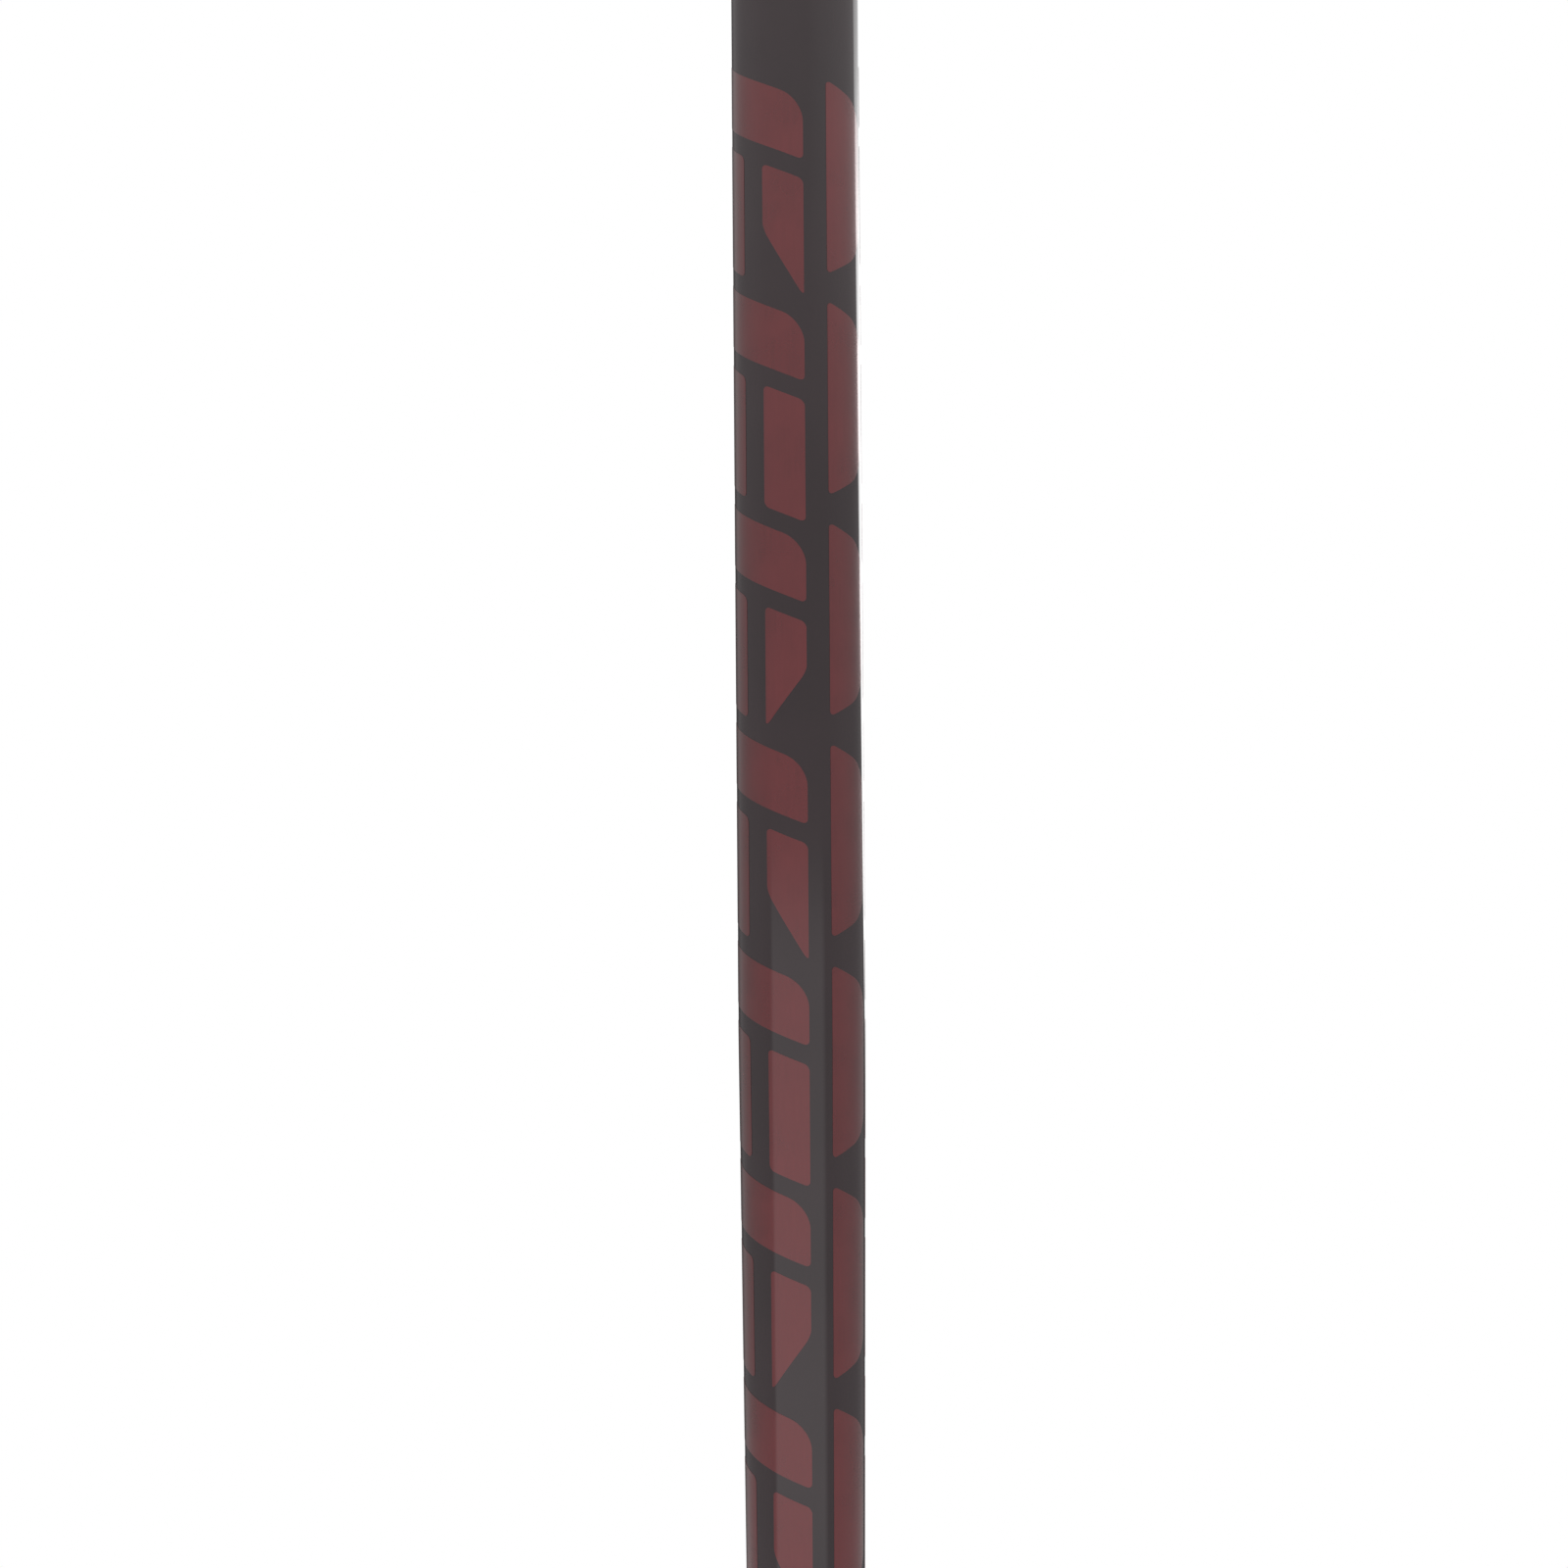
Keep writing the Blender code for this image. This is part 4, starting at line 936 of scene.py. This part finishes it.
def grip_reach(height):
    """(back, front, half width) of the grip at a height, on smooth curves through GRIP_OUTLINE."""
    rows = GRIP_OUTLINE
    i = max(0, min(len(rows) - 2, sum(row[0] <= height for row in rows) - 1))
    before, low, high, after = rows[max(i - 1, 0)], rows[i], rows[i + 1], rows[min(i + 2, len(rows) - 1)]
    step = high[0] - low[0]
    t = (height - low[0]) / step
    reach = []
    for k in (1, 2, 3):
        low_slope = (high[k] - before[k]) / (high[0] - before[0]) * step
        high_slope = (after[k] - low[k]) / (after[0] - low[0]) * step
        start = low[k] * (2 * t**3 - 3 * t**2 + 1) + low_slope * (t**3 - 2 * t**2 + t)
        end = high[k] * (3 * t**2 - 2 * t**3) + high_slope * (t**3 - t**2)
        reach.append(start + end)
    return reach


def finger_dip(height):
    """How far the front of the handle dips between its finger ridges."""
    if not FIRST_FINGER < height < LAST_FINGER:
        return 0.0
    return FINGER_DEPTH * (1 - cos(2 * pi * (height - FIRST_FINGER) / FINGER_PITCH)) / 2


def rounded(turn, squareness):
    """A point on a unit superellipse."""
    c, s = cos(turn), sin(turn)
    return copysign(abs(c) ** (2 / squareness), c), copysign(abs(s) ** (2 / squareness), s)


def grip_point(turn, height, inset=0.0):
    """A point on the grip's outer surface. Angle 0 is the front and pi the back."""
    back, front, half_width = grip_reach(height)
    reach = front - finger_dip(height) * smoothstep(cos(turn), 0.0, 0.6) if cos(turn) >= 0 else back
    x, y = rounded(turn, GRIP_SQUARENESS)
    return (reach - inset) * x, (half_width - inset) * y, height


def grip_ring(height, inset=0.0):
    return [grip_point(turn, height, inset) for turn in turns(GRIP_SIDES)]


def sleeve_inset(turn, height):
    """How far the sleeve lies below the plain grip: finger ribs in front, the palm pad's bed behind."""
    u, v = (turn - pi) / PALM_PAD_HALF_ANGLE, (height - PALM_PAD_MIDDLE) / PALM_PAD_HALF_HEIGHT
    bed = (PALM_PAD_DEPTH + FIT_GAP) * (1 - smoothstep(rim_share(u, v, PALM_PAD_SQUARENESS), 1.02, 1.08))
    above_foot = smoothstep(height, FIRST_FINGER - 0.002, FIRST_FINGER + 0.002)
    near_fingers = above_foot * smoothstep(LAST_FINGER + 0.002 - height, 0.0, 0.004)
    in_front = smoothstep(cos(turn), 0.25, 0.75) * near_fingers
    groove = 0.00028 * in_front * (1 - cos(2 * pi * (height - FIRST_FINGER) / 0.0020)) / 2
    at_side = smoothstep(abs(sin(turn)), 0.93, 0.97) * near_fingers
    ticks = 0.00022 * at_side * repeated(height + 0.004 * cos(turn), 0.0050, -0.2, 0.4)
    return bed + groove + ticks


def make_grip_sleeve(rubber):
    """The soft handle: four finger dips with fine ribs, ticked sides and a bed for the palm pad."""
    foot, inner = COLLAR_TOP + FIT_GAP, CORE_TUBE_RADIUS + FIT_GAP
    low, high = foot + GRIP_EDGE, SLEEVE_TOP - GRIP_EDGE
    rings = [circle(inner, foot, GRIP_SIDES), grip_ring(foot, GRIP_EDGE), grip_ring(foot + 0.0003, 0.0003)]
    for height in evenly(low, high, round((high - low) / 0.0004)):
        rings.append([grip_point(turn, height, sleeve_inset(turn, height)) for turn in turns(GRIP_SIDES)])
    rings += [grip_ring(SLEEVE_TOP - 0.0003, 0.0003), grip_ring(SLEEVE_TOP, GRIP_EDGE)]
    rings.append(circle(inner, SLEEVE_TOP, GRIP_SIDES))
    add_piece("grip_sleeve_moulding", skin(rings, True), rubber, "grip_rubber", "pole", "grip_sleeve")


def make_palm_pad(plastic):
    """The coloured pad: a crowned plate with slanted grooves and rounded edges."""

    def points_at(u, v, rim):
        turn, height = pi + u * PALM_PAD_HALF_ANGLE, PALM_PAD_MIDDLE + v * PALM_PAD_HALF_HEIGHT
        sink = 0.0009 * smoothstep(rim, 0.93, 1.0) ** 2
        groove = 0.0005 * repeated(height - 0.0075 * abs(u), 0.0062, 0.10, 0.90)
        groove *= 1 - smoothstep(rim, 0.80, 0.90)
        return grip_point(turn, height, sink + groove - 0.0002), grip_point(turn, height, PALM_PAD_DEPTH)

    bm = plate(72, 200, PALM_PAD_SQUARENESS, points_at)
    add_piece("palm_pad_moulding", bm, plastic, "red_plastic", "pole", "grip_palm_pad")


def make_collar(plastic):
    bore = SHAFT_RADIUS + FIT_GAP
    groove = COLLAR_FOOT + 0.0046
    outline = [
        (bore, COLLAR_FOOT),
        (COLLAR_RIM - 0.0010, COLLAR_FOOT),
        (COLLAR_RIM, COLLAR_FOOT + 0.0010),
        (COLLAR_RIM + 0.0002, groove),
        (COLLAR_RIM - 0.0004, groove + 0.0003),
        (COLLAR_RIM - 0.0004, groove + 0.0011),
        (COLLAR_RIM + 0.0002, groove + 0.0014),
        (COLLAR_RIM + 0.0004, COLLAR_TOP - 0.0010),
        (COLLAR_RIM - 0.0004, COLLAR_TOP),
        (bore, COLLAR_TOP),
    ]
    bm = turned(filleted(outline, 0.0004), hollow=True)
    add_piece("grip_collar_moulding", bm, plastic, "red_plastic", "pole", "grip_collar")


def wedge_nose(offset, steps=20):
    """The round nose of the wedge, moved out by offset, from its flat bottom to its sloping top."""
    centre = (WEDGE_NOSE_X, WEDGE_NOSE_HEIGHT)
    return arc(centre, WEDGE_NOSE_RADIUS + offset, -90, 90 + degrees(WEDGE_ANGLE), steps)


def wedge_top(x, offset=0.0):
    """The height at x of the wedge's sloping top, moved out by offset."""
    nose_x, nose_height = wedge_nose(offset)[-1]
    return nose_height + (nose_x - x) * tan(WEDGE_ANGLE)


def prism(outline, half_width):
    """An outline of (x, z) points, extruded along Y to both sides."""
    return skin([[(x, y, z) for x, z in outline] for y in (-half_width, half_width)])


def pin_circle(radius):
    """A circle of (x, z) points round the strap pin's axis."""
    return arc((STRAP_PIN_X, STRAP_PIN_HEIGHT), radius, 0, 360, 48)[:-1]


def make_grip_head(plastic):
    """The hard head above the handle, with the strap's slot and the pin's hole, on its tube."""
    tube_foot, head_foot = COLLAR_TOP + FIT_GAP, SLEEVE_TOP + FIT_GAP
    rings = [circle(CORE_TUBE_RADIUS, height, GRIP_SIDES) for height in (tube_foot, head_foot)]
    for turn in evenly(0, pi / 2, 4)[:-1]:
        rings.append(grip_ring(head_foot + GRIP_EDGE * (1 - cos(turn)), GRIP_EDGE * (1 - sin(turn))))
    rings += [grip_ring(height) for height in evenly(head_foot + GRIP_EDGE, HEAD_TOP, 28)]
    head = add_piece("grip_head_moulding", skin(rings), plastic, "hard_plastic", "pole", "grip_core")
    room = 2 * FIT_GAP + STRAP_THICKNESS
    slope_start = wedge_nose(room)[-1]
    inner_end = STRAP_PIN_X + STRAP_EYE_RADIUS + STRAP_THICKNESS / 2 + 0.0004
    beyond = MOUTH_X - 0.0200
    slot = [
        (beyond, SLOT_FLOOR),
        (inner_end, SLOT_FLOOR),
        (inner_end, slope_start[1] - 0.0010),
        (inner_end - 0.0012, slope_start[1]),
        slope_start,
        (beyond, wedge_top(beyond, room)),
    ]
    bore_top = SHAFT_TOP + PLUG_HEAD + 2 * FIT_GAP
    cutters = [
        turned([(CORE_BORE_RADIUS, COLLAR_FOOT), (CORE_BORE_RADIUS, bore_top)]),
        prism(slot, STRAP_WIDTH / 2 + 0.0006),
        prism(pin_circle(STRAP_PIN_RADIUS + FIT_GAP), 0.0200),
        turned([(0.0014, 1.1820), (0.0014, HEAD_TOP + 0.0040)], 32, centre=(SCREW_X, 0)),
    ]
    carve(head, cutters)
    bevel(head, 0.0003, 2, radians(50))


def inlay_oval(margin, height):
    """The inlay's rounded outline with a margin round it."""
    length, width = INLAY_HALF_LENGTH + margin, INLAY_HALF_WIDTH + margin
    points = [rounded(turn, INLAY_SQUARENESS) for turn in turns(GRIP_SIDES)]
    return [(length * x, width * y, height) for x, y in points]


def make_grip_cap(rubber):
    """The soft cap, domed over the head, with a recess for the inlay."""
    foot = HEAD_TOP + FIT_GAP
    rings = [grip_ring(foot, 0.0004), grip_ring(foot + 0.0002, 0.0001)]
    rings += [grip_ring(height) for height in evenly(foot + 0.0005, POLE_LENGTH, 24)]
    for margin, drop in ((0.0004, 0.0), (0.0001, 0.0001), (0.0, 0.0004)):
        rings.append(inlay_oval(FIT_GAP + margin, POLE_LENGTH - drop))
    rings.append(inlay_oval(FIT_GAP, INLAY_FOOT - FIT_GAP))
    cap = add_piece("grip_cap_moulding", skin(rings), rubber, "grip_rubber", "pole", "grip_cap")
    well = [
        (0.0017, foot - 0.0020),
        (0.0017, SCREW_HEAD_FOOT - FIT_GAP),
        (SCREW_HEAD_RADIUS + 0.0004, SCREW_HEAD_FOOT - FIT_GAP),
        (SCREW_HEAD_RADIUS + 0.0004, POLE_LENGTH + 0.0010),
    ]
    carve(cap, [turned(well, 32, centre=(SCREW_X, 0))])


def make_inlay(plastic):
    """The coloured plate in the cap, with slanted grooves like the palm pad's."""

    def points_at(u, v, rim):
        x, y = u * INLAY_HALF_LENGTH, v * INLAY_HALF_WIDTH
        sink = 0.0004 * smoothstep(rim, 0.93, 1.0) ** 2
        groove = 0.0003 * repeated(x + 0.0030 * abs(v), 0.0044, 0.10, 0.90)
        groove *= 1 - smoothstep(rim, 0.72, 0.84)
        return (x, y, INLAY_TOP - sink - groove), (x, y, INLAY_FOOT)

    bm = plate(150, 48, INLAY_SQUARENESS, points_at)
    add_piece("cap_inlay_moulding", bm, plastic, "red_plastic", "pole", "cap_inlay")


# ---- strap ----


def bend_down(radius):
    """A leg's quarter turn from the slot's mouth to hanging straight down."""
    return arc((BEND_X, FIXED_LEG_HEIGHT - INNER_BEND_RADIUS), radius, 90, 180, 24)


def loop_points():
    """The wrist loop's curve, from where its legs part, round and back."""
    opening = [
        (FIXED_LEG_X, LOOP_OPENS),
        (-0.0325, 1.0740),
        (-0.0268, 1.0500),
        (-0.0218, 1.0220),
        (-0.0205, 0.9940),
        (-0.0250, 0.9670),
        (-0.0390, 0.9500),
        (-0.0570, 0.9540),
        (-0.0700, 0.9740),
        (-0.0745, 1.0030),
        (-0.0700, 1.0330),
        (-0.0580, 1.0610),
        (-0.0445, 1.0810),
        (-0.0385, 1.0900),
        (LIVE_LEG_X, 1.0980),
    ]
    return smooth_through(opening, 20)


def strap_route():
    """The whole strap: sewn eye, fixed leg, loop, adjustable leg, round the wedge and out as the tail."""
    route = arc((STRAP_PIN_X, STRAP_PIN_HEIGHT), STRAP_EYE_RADIUS, 200, -90, 40)
    route += [(-0.0240, FIXED_LEG_HEIGHT), *bend_down(INNER_BEND_RADIUS)]
    route += loop_points()
    route += reversed(bend_down(INNER_BEND_RADIUS + LEG_PITCH))
    off_wedge = FIT_GAP + STRAP_THICKNESS / 2
    route += [(-0.0240, LIVE_LEG_HEIGHT), *wedge_nose(off_wedge, 30)]
    over = [
        (MOUTH_X, wedge_top(MOUTH_X, off_wedge)),
        (-0.0304, 1.1847),
        (-0.0350, 1.1832),
        (-0.0381, 1.1790),
        (-0.0391, 1.1735),
        (TAIL_X, 1.1670),
    ]
    return route + smooth_through(over, 10) + [(TAIL_X, TAIL_FOOT - TAIL_IN_TAB)]


def webbing_section():
    """Half of the webbing's section: (across, half thickness) over its warp ribs, thin at the selvedges."""
    steps = 2 * WARP_RIBS
    points = []
    for i in range(steps + 1):
        thickness = STRAP_THICKNESS / 2 - (RIB_DEPTH if i % 2 == 0 else 0.0)
        points.append((STRAP_WIDTH * (i / steps - 0.5), SELVEDGE if i in (0, steps) else thickness))
    return points


def set_cloth_map(piece, places):
    """Gives a piece its own map, in metres: one (across, along) pair for each vertex."""
    layer = piece.data.uv_layers.new(name="cloth")
    for loop in piece.data.loops:
        layer.data[loop.index].uv = places[loop.vertex_index]


def make_strap(cloth):
    """One length of webbing, from its eye to its tail."""
    path = Path(strap_route())
    upper = webbing_section()
    section = upper + [(across, -thickness) for across, thickness in reversed(upper)]
    rings, places = [], []
    for point, side, length in zip(path.route, path.lefts, path.lengths):
        edge = [(across, point + side * thickness) for across, thickness in section]
        rings.append([(x, across, z) for across, (x, z) in edge])
        places += [(across, length) for across, _ in section]
    replaced = ["strap_fixed_end", "strap_lock_bight", "strap_loop", "strap_tail"]
    strap = add_piece("wrist_strap", skin(rings), cloth, "strap_webbing", None, *replaced)
    set_cloth_map(strap, places)
    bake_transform(strap)


def pad_thickness(u, v):
    """The padding's thickness: rolled edges, two sewn channels and soft pillows between the quilting."""
    edge = 1 - smoothstep(rim_share(u, v, PAD_SQUARENESS), 0.80, 1.0) ** 2 * 0.72
    channel = 0.42 * (1 - smoothstep(abs(abs(v) - SEAM_SHARE), 0.02, 0.12))
    quilting = 0.30 * (1 - smoothstep(abs(sin(pi * 5 * (u + 1))), 0.0, 0.35))
    quilting *= 1 - smoothstep(abs(v), 0.50, 0.60)
    return PAD_THICKNESS * max(0.2, edge - channel - quilting)


def make_strap_pad(fabric, thread):
    """The padding inside the loop, crowned and quilted, and the thread that sews it on."""
    path = Path([point for point in loop_points() if point[1] < PAD_TOP])
    against = -(STRAP_THICKNESS / 2 + FIT_GAP)
    rows, columns = 260, 44

    def on_cloth(u, v):
        return v * PAD_WIDTH / 2, path.length * (u + 1) / 2

    def points_at(u, v, rim):
        across, length = on_cloth(u, v)
        under = 0.0007 * smoothstep(rim, 0.85, 1.0) ** 2
        inward = max(under + 0.0004, pad_thickness(u, v))
        return path.place(length, across, against - inward), path.place(length, across, against - under)

    bm = plate(rows, columns, PAD_SQUARENESS, points_at)
    pad = add_piece("strap_padding", bm, fabric, "strap_padding", "strap", "strap_pad")
    places = [on_cloth(u, v) for line in oval_grid(rows, columns, PAD_SQUARENESS) for u, v in line]
    set_cloth_map(pad, places + places)

    bm = bmesh.new()
    for v in (-SEAM_SHARE, SEAM_SHARE):
        for i in range(floor((path.length - 2 * SEAM_MARGIN) / STITCH_PITCH)):
            start = SEAM_MARGIN + i * STITCH_PITCH
            inside = against - pad_thickness(2 * (start + STITCH_LENGTH / 2) / path.length - 1, v)
            for level, bulge in ((inside, -0.00018), (STRAP_THICKNESS / 2, 0.00012)):
                skin(stitch_rings(path, start, v * PAD_WIDTH / 2, level, bulge), bm=bm)
    add_piece("strap_stitching", bm, thread, "strap_webbing", "strap")


def stitch_rings(path, start, across, level, bulge):
    """One stitch: a short thread that dips into the cloth at both ends."""
    rings = []
    for share in evenly(0, 1, 6):
        radius = 0.00030 * (0.45 + 0.55 * sin(pi * min(max(share, 0.06), 0.94)) ** 0.5)
        length, lift = start + STITCH_LENGTH * share, level + bulge * 2 * (sin(pi * share) - 0.45)
        around = [(radius * cos(turn), radius * sin(turn)) for turn in turns(8)]
        rings.append([path.place(length, across + aside, lift + out) for aside, out in around])
    return rings


def make_end_tab(rubber):
    """The moulded tab on the strap's tail, ribbed on both faces, with rounded corners."""
    middle_x, middle_height = TAIL_X - 0.0002, TAIL_FOOT - FIT_GAP - TAB_LENGTH / 2
    half_width, half_thickness = (STRAP_WIDTH + 0.0010) / 2, (STRAP_THICKNESS + 0.0006) / 2

    def points_at(u, v, rim):
        along = u * TAB_LENGTH / 2
        rib = 0.00024 * repeated(along + 0.0020 * abs(v), 0.0024, -0.5, 0.8)
        rib *= 1 - smoothstep(rim, 0.74, 0.86)
        out = half_thickness * (1 - 0.65 * smoothstep(rim, 0.86, 1.0) ** 2) - rib
        return [(middle_x + side, v * half_width, middle_height + along) for side in (out, -out)]

    bm = plate(72, 60, 5, points_at)
    add_piece("strap_tab_moulding", bm, rubber, "basket_rubber", "strap", "strap_end_tab")


def make_keeper(rubber):
    """The rubber loop round the strap's three layers, with rounded rims and three low ribs."""
    front = FIXED_LEG_X + STRAP_THICKNESS / 2 + FIT_GAP
    back = TAIL_X - STRAP_THICKNESS / 2 - FIT_GAP
    middle, half_depth = (front + back) / 2, (front - back) / 2
    half_width = STRAP_WIDTH / 2 + FIT_GAP
    low = KEEPER_TOP - KEEPER_HEIGHT
    section = []
    for share in evenly(0, 1, 40):
        rolled = 0.0008 * smoothstep(abs(2 * share - 1), 0.80, 1.0) ** 2
        ribs = 0.0003 * repeated(share, 1 / 3, -0.5, 0.8)
        section.append((KEEPER_WALL - ribs - rolled, low + KEEPER_HEIGHT * share))
    section += [(0.0, KEEPER_TOP - 0.0003), (0.0, low + 0.0003)]
    ring = [rounded(turn, 12.0) for turn in turns(96)]
    rings = []
    for out, height in section:
        rings.append([(middle + (half_depth + out) * x, (half_width + out) * y, height) for x, y in ring])
    add_piece("strap_keeper_moulding", skin(rings, True), rubber, "basket_rubber", "keeper", "strap_keeper")


def make_wedge(plastic):
    """The wedge that locks the strap, with its thumb ridges and softened edges."""
    top, ridges = wedge_top(WEDGE_BACK_X), 3
    ridge = (top - WEDGE_FOOT) / ridges
    outline = [*wedge_nose(0.0), (WEDGE_BACK_X, top)]
    for ridge_top in evenly(top, WEDGE_FOOT, ridges)[:-1]:
        outline.append((WEDGE_BACK_X - 0.0008, ridge_top - 0.35 * ridge))
        outline.append((WEDGE_BACK_X, ridge_top - 0.85 * ridge))
    outline.append((WEDGE_BACK_X, WEDGE_FOOT))
    bm = prism(outline, STRAP_WIDTH / 2 - FIT_GAP)
    wedge = add_piece("wedge_moulding", bm, plastic, "red_plastic", "wedge", "strap_wedge")
    bevel(wedge, 0.0003, 3, radians(24))


def make_strap_pin(steel):
    half, edge = 0.0150, 0.0003
    outline = [(-half, edge), (-half + edge, 0.0), (half - edge, 0.0), (half, edge)]
    rings = [[(x, y, z) for x, z in pin_circle(STRAP_PIN_RADIUS - inset)] for y, inset in outline]
    add_piece("strap_pin_ground", skin(rings), steel, "tip_steel", "pole", "strap_pin")


# ---- floor, light and camera ----

FLOOR_RADIUS = 2.3
VIEW_HEIGHT = 0.621  # on the shaft, in the middle of the picture
VIEW_DISTANCE = 0.557
VIEW_ASIDE = -0.00230
VIEW_ROLL = radians(0.41)
LENS, SENSOR = 90.0, 36.0


def make_floor():
    """A pale round floor that fades into a white glow away from the pole."""
    mesh = bpy.data.meshes.new("floor")
    mesh.from_pydata(circle(FLOOR_RADIUS, TIP_LEVEL, 96), [], [range(96)])
    recipe = Recipe("pale_floor", 0.9, specular=0.1)
    level = recipe.stretched((1, 1, 0))
    away = recipe.node("VectorMath", level, settings={"operation": "LENGTH"}).outputs["Value"]
    fading = recipe.spread(away, 0.35, 1.6)
    near = recipe.mixed(recipe.patches(0.4), (0.86, 0.86, 0.86), (0.88, 0.88, 0.88))
    recipe.shade(Base_Color=recipe.mixed(fading, near, (0.0, 0.0, 0.0)))
    recipe.shade(Emission_Color=(1.0, 1.0, 1.0, 1.0), Emission_Strength=fading)
    mesh.materials.append(recipe.material)
    put_in_scene("floor", mesh)


def make_world():
    """White all round for the camera, but for light a studio tent: white in front and dimmer behind."""
    world = bpy.data.worlds.new("studio")
    bpy.context.scene.world = world
    world.use_nodes = True
    nodes = Nodes(world.node_tree)
    spread, product, total = nodes.spread, nodes.product, nodes.total
    x, y, z = nodes.split(nodes.node("TexCoord").outputs["Generated"])

    tent = product(
        spread(y, -0.3, 1.0, 1.0, 0.45), spread(y, 0.78, 0.95, 1.0, 0.30), spread(z, 0.0, 0.26, 0.70, 1.0)
    )
    # The bright line down the shaft's right side is a card behind it, seen at a grazing angle.
    rim_card = product(
        spread(total(y, product(z, 1.08)), 0.866, 0.906, 0.0, 2.6),
        spread(x, 0.0, 0.04),
        spread(z, -0.09, -0.02),
        spread(z, 0.12, 0.20, 1.0, 0.36),
    )
    side_card = product(spread(x, 0.3, 0.9, 0.0, 0.16), spread(z, 0.08, 0.18))
    # The lower half of the shaft is paler, from a card in front of it and below the camera.
    low_card = product(
        spread(y, -0.40, -0.55),
        spread(x, -0.86, -0.79),
        spread(x, 0.72, 0.58),
        total(spread(z, -0.010, -0.045, 0.0, 0.50), spread(z, -0.08, -0.18, 0.0, 0.14)),
    )
    # Low down it is as bright as the floor, which ends there, so that no reflection shows the floor's edge.
    above_floor = spread(z, -0.27, -0.22)
    studio = total(
        product(total(tent, rim_card, side_card, low_card), above_floor),
        spread(z, -0.27, -0.22, 1.0, 0.0),
    )

    lit = nodes.tree.nodes["Background"]
    nodes.feed(lit, (1, 1, 1, 1), studio)
    white = nodes.node("Background", (1, 1, 1, 1), 1.0)
    to_camera = nodes.node("LightPath").outputs["Is Camera Ray"]
    seen = nodes.node("MixShader", to_camera, lit.outputs[0], white.outputs[0])
    nodes.feed(nodes.tree.nodes["World Output"], Surface=seen.outputs[0])


def add_light(name, place, size, watts):
    """A square soft light that faces the middle of the pole."""
    light = bpy.data.lights.new(name, "AREA")
    light.size, light.energy = size, watts
    lamp = put_in_scene(name, light)
    lamp.location = place
    to_pole = Vector((0, 0, TIP_LEVEL + 0.6)) - lamp.location
    lamp.rotation_euler = to_pole.to_track_quat("-Z", "Y").to_euler()


def make_camera():
    lens = bpy.data.cameras.new("camera")
    lens.lens, lens.sensor_width = LENS, SENSOR
    lens.clip_start, lens.clip_end = 0.01, 50
    camera = put_in_scene("camera", lens)
    target = Vector((VIEW_ASIDE, 0, TIP_LEVEL + VIEW_HEIGHT))
    camera.location = target + VIEW_DISTANCE * Vector((0, -1, 0))
    upright = (target - camera.location).to_track_quat("-Z", "Y").to_matrix().to_4x4()
    camera.rotation_euler = (upright @ Matrix.Rotation(-VIEW_ROLL, 4, "Z")).to_euler()
    bpy.context.scene.camera = camera


# ---- the whole scene ----


def main():
    make_camera()
    make_world()
    add_light("key_softbox", (-1.4, -1.2, 2.0), 1.4, 22)
    add_light("top_softbox", (0.6, 0.6, 2.2), 1.8, 18)
    make_floor()

    black = moulded_plastic("black_plastic", BLACK_PLASTIC, 0.42)
    red = moulded_plastic("red_plastic", RED_PLASTIC, 0.38)
    grip_rubber = soft_rubber("grip_rubber", GRIP_RUBBER)
    basket_rubber = soft_rubber("basket_rubber", BASKET_RUBBER, 0.55)
    steel = turned_steel("ground_steel", GROUND_STEEL, 0.30)

    make_shaft(shaft_paint())
    make_print(print_ink())
    make_ferrule(black)
    make_tip(steel)
    make_basket_clip(turned_steel("spring_steel", SPRING_STEEL, 0.38))
    make_basket_hub(black)
    make_basket_disc(basket_rubber)

    make_grip_head(black)
    make_grip_sleeve(grip_rubber)
    make_palm_pad(red)
    make_collar(red)
    make_grip_cap(grip_rubber)
    make_inlay(red)

    make_strap_pin(steel)
    make_wedge(red)
    make_strap(webbing())
    make_strap_pad(knitted_cover(), sewing_thread())
    make_end_tab(basket_rubber)
    make_keeper(basket_rubber)

    for node, material in (("shaft_plug", black), ("cap_screw", steel)):
        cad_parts[node].material_slots[0].material = material

    bpy.context.scene.view_settings.view_transform = "Standard"


main()
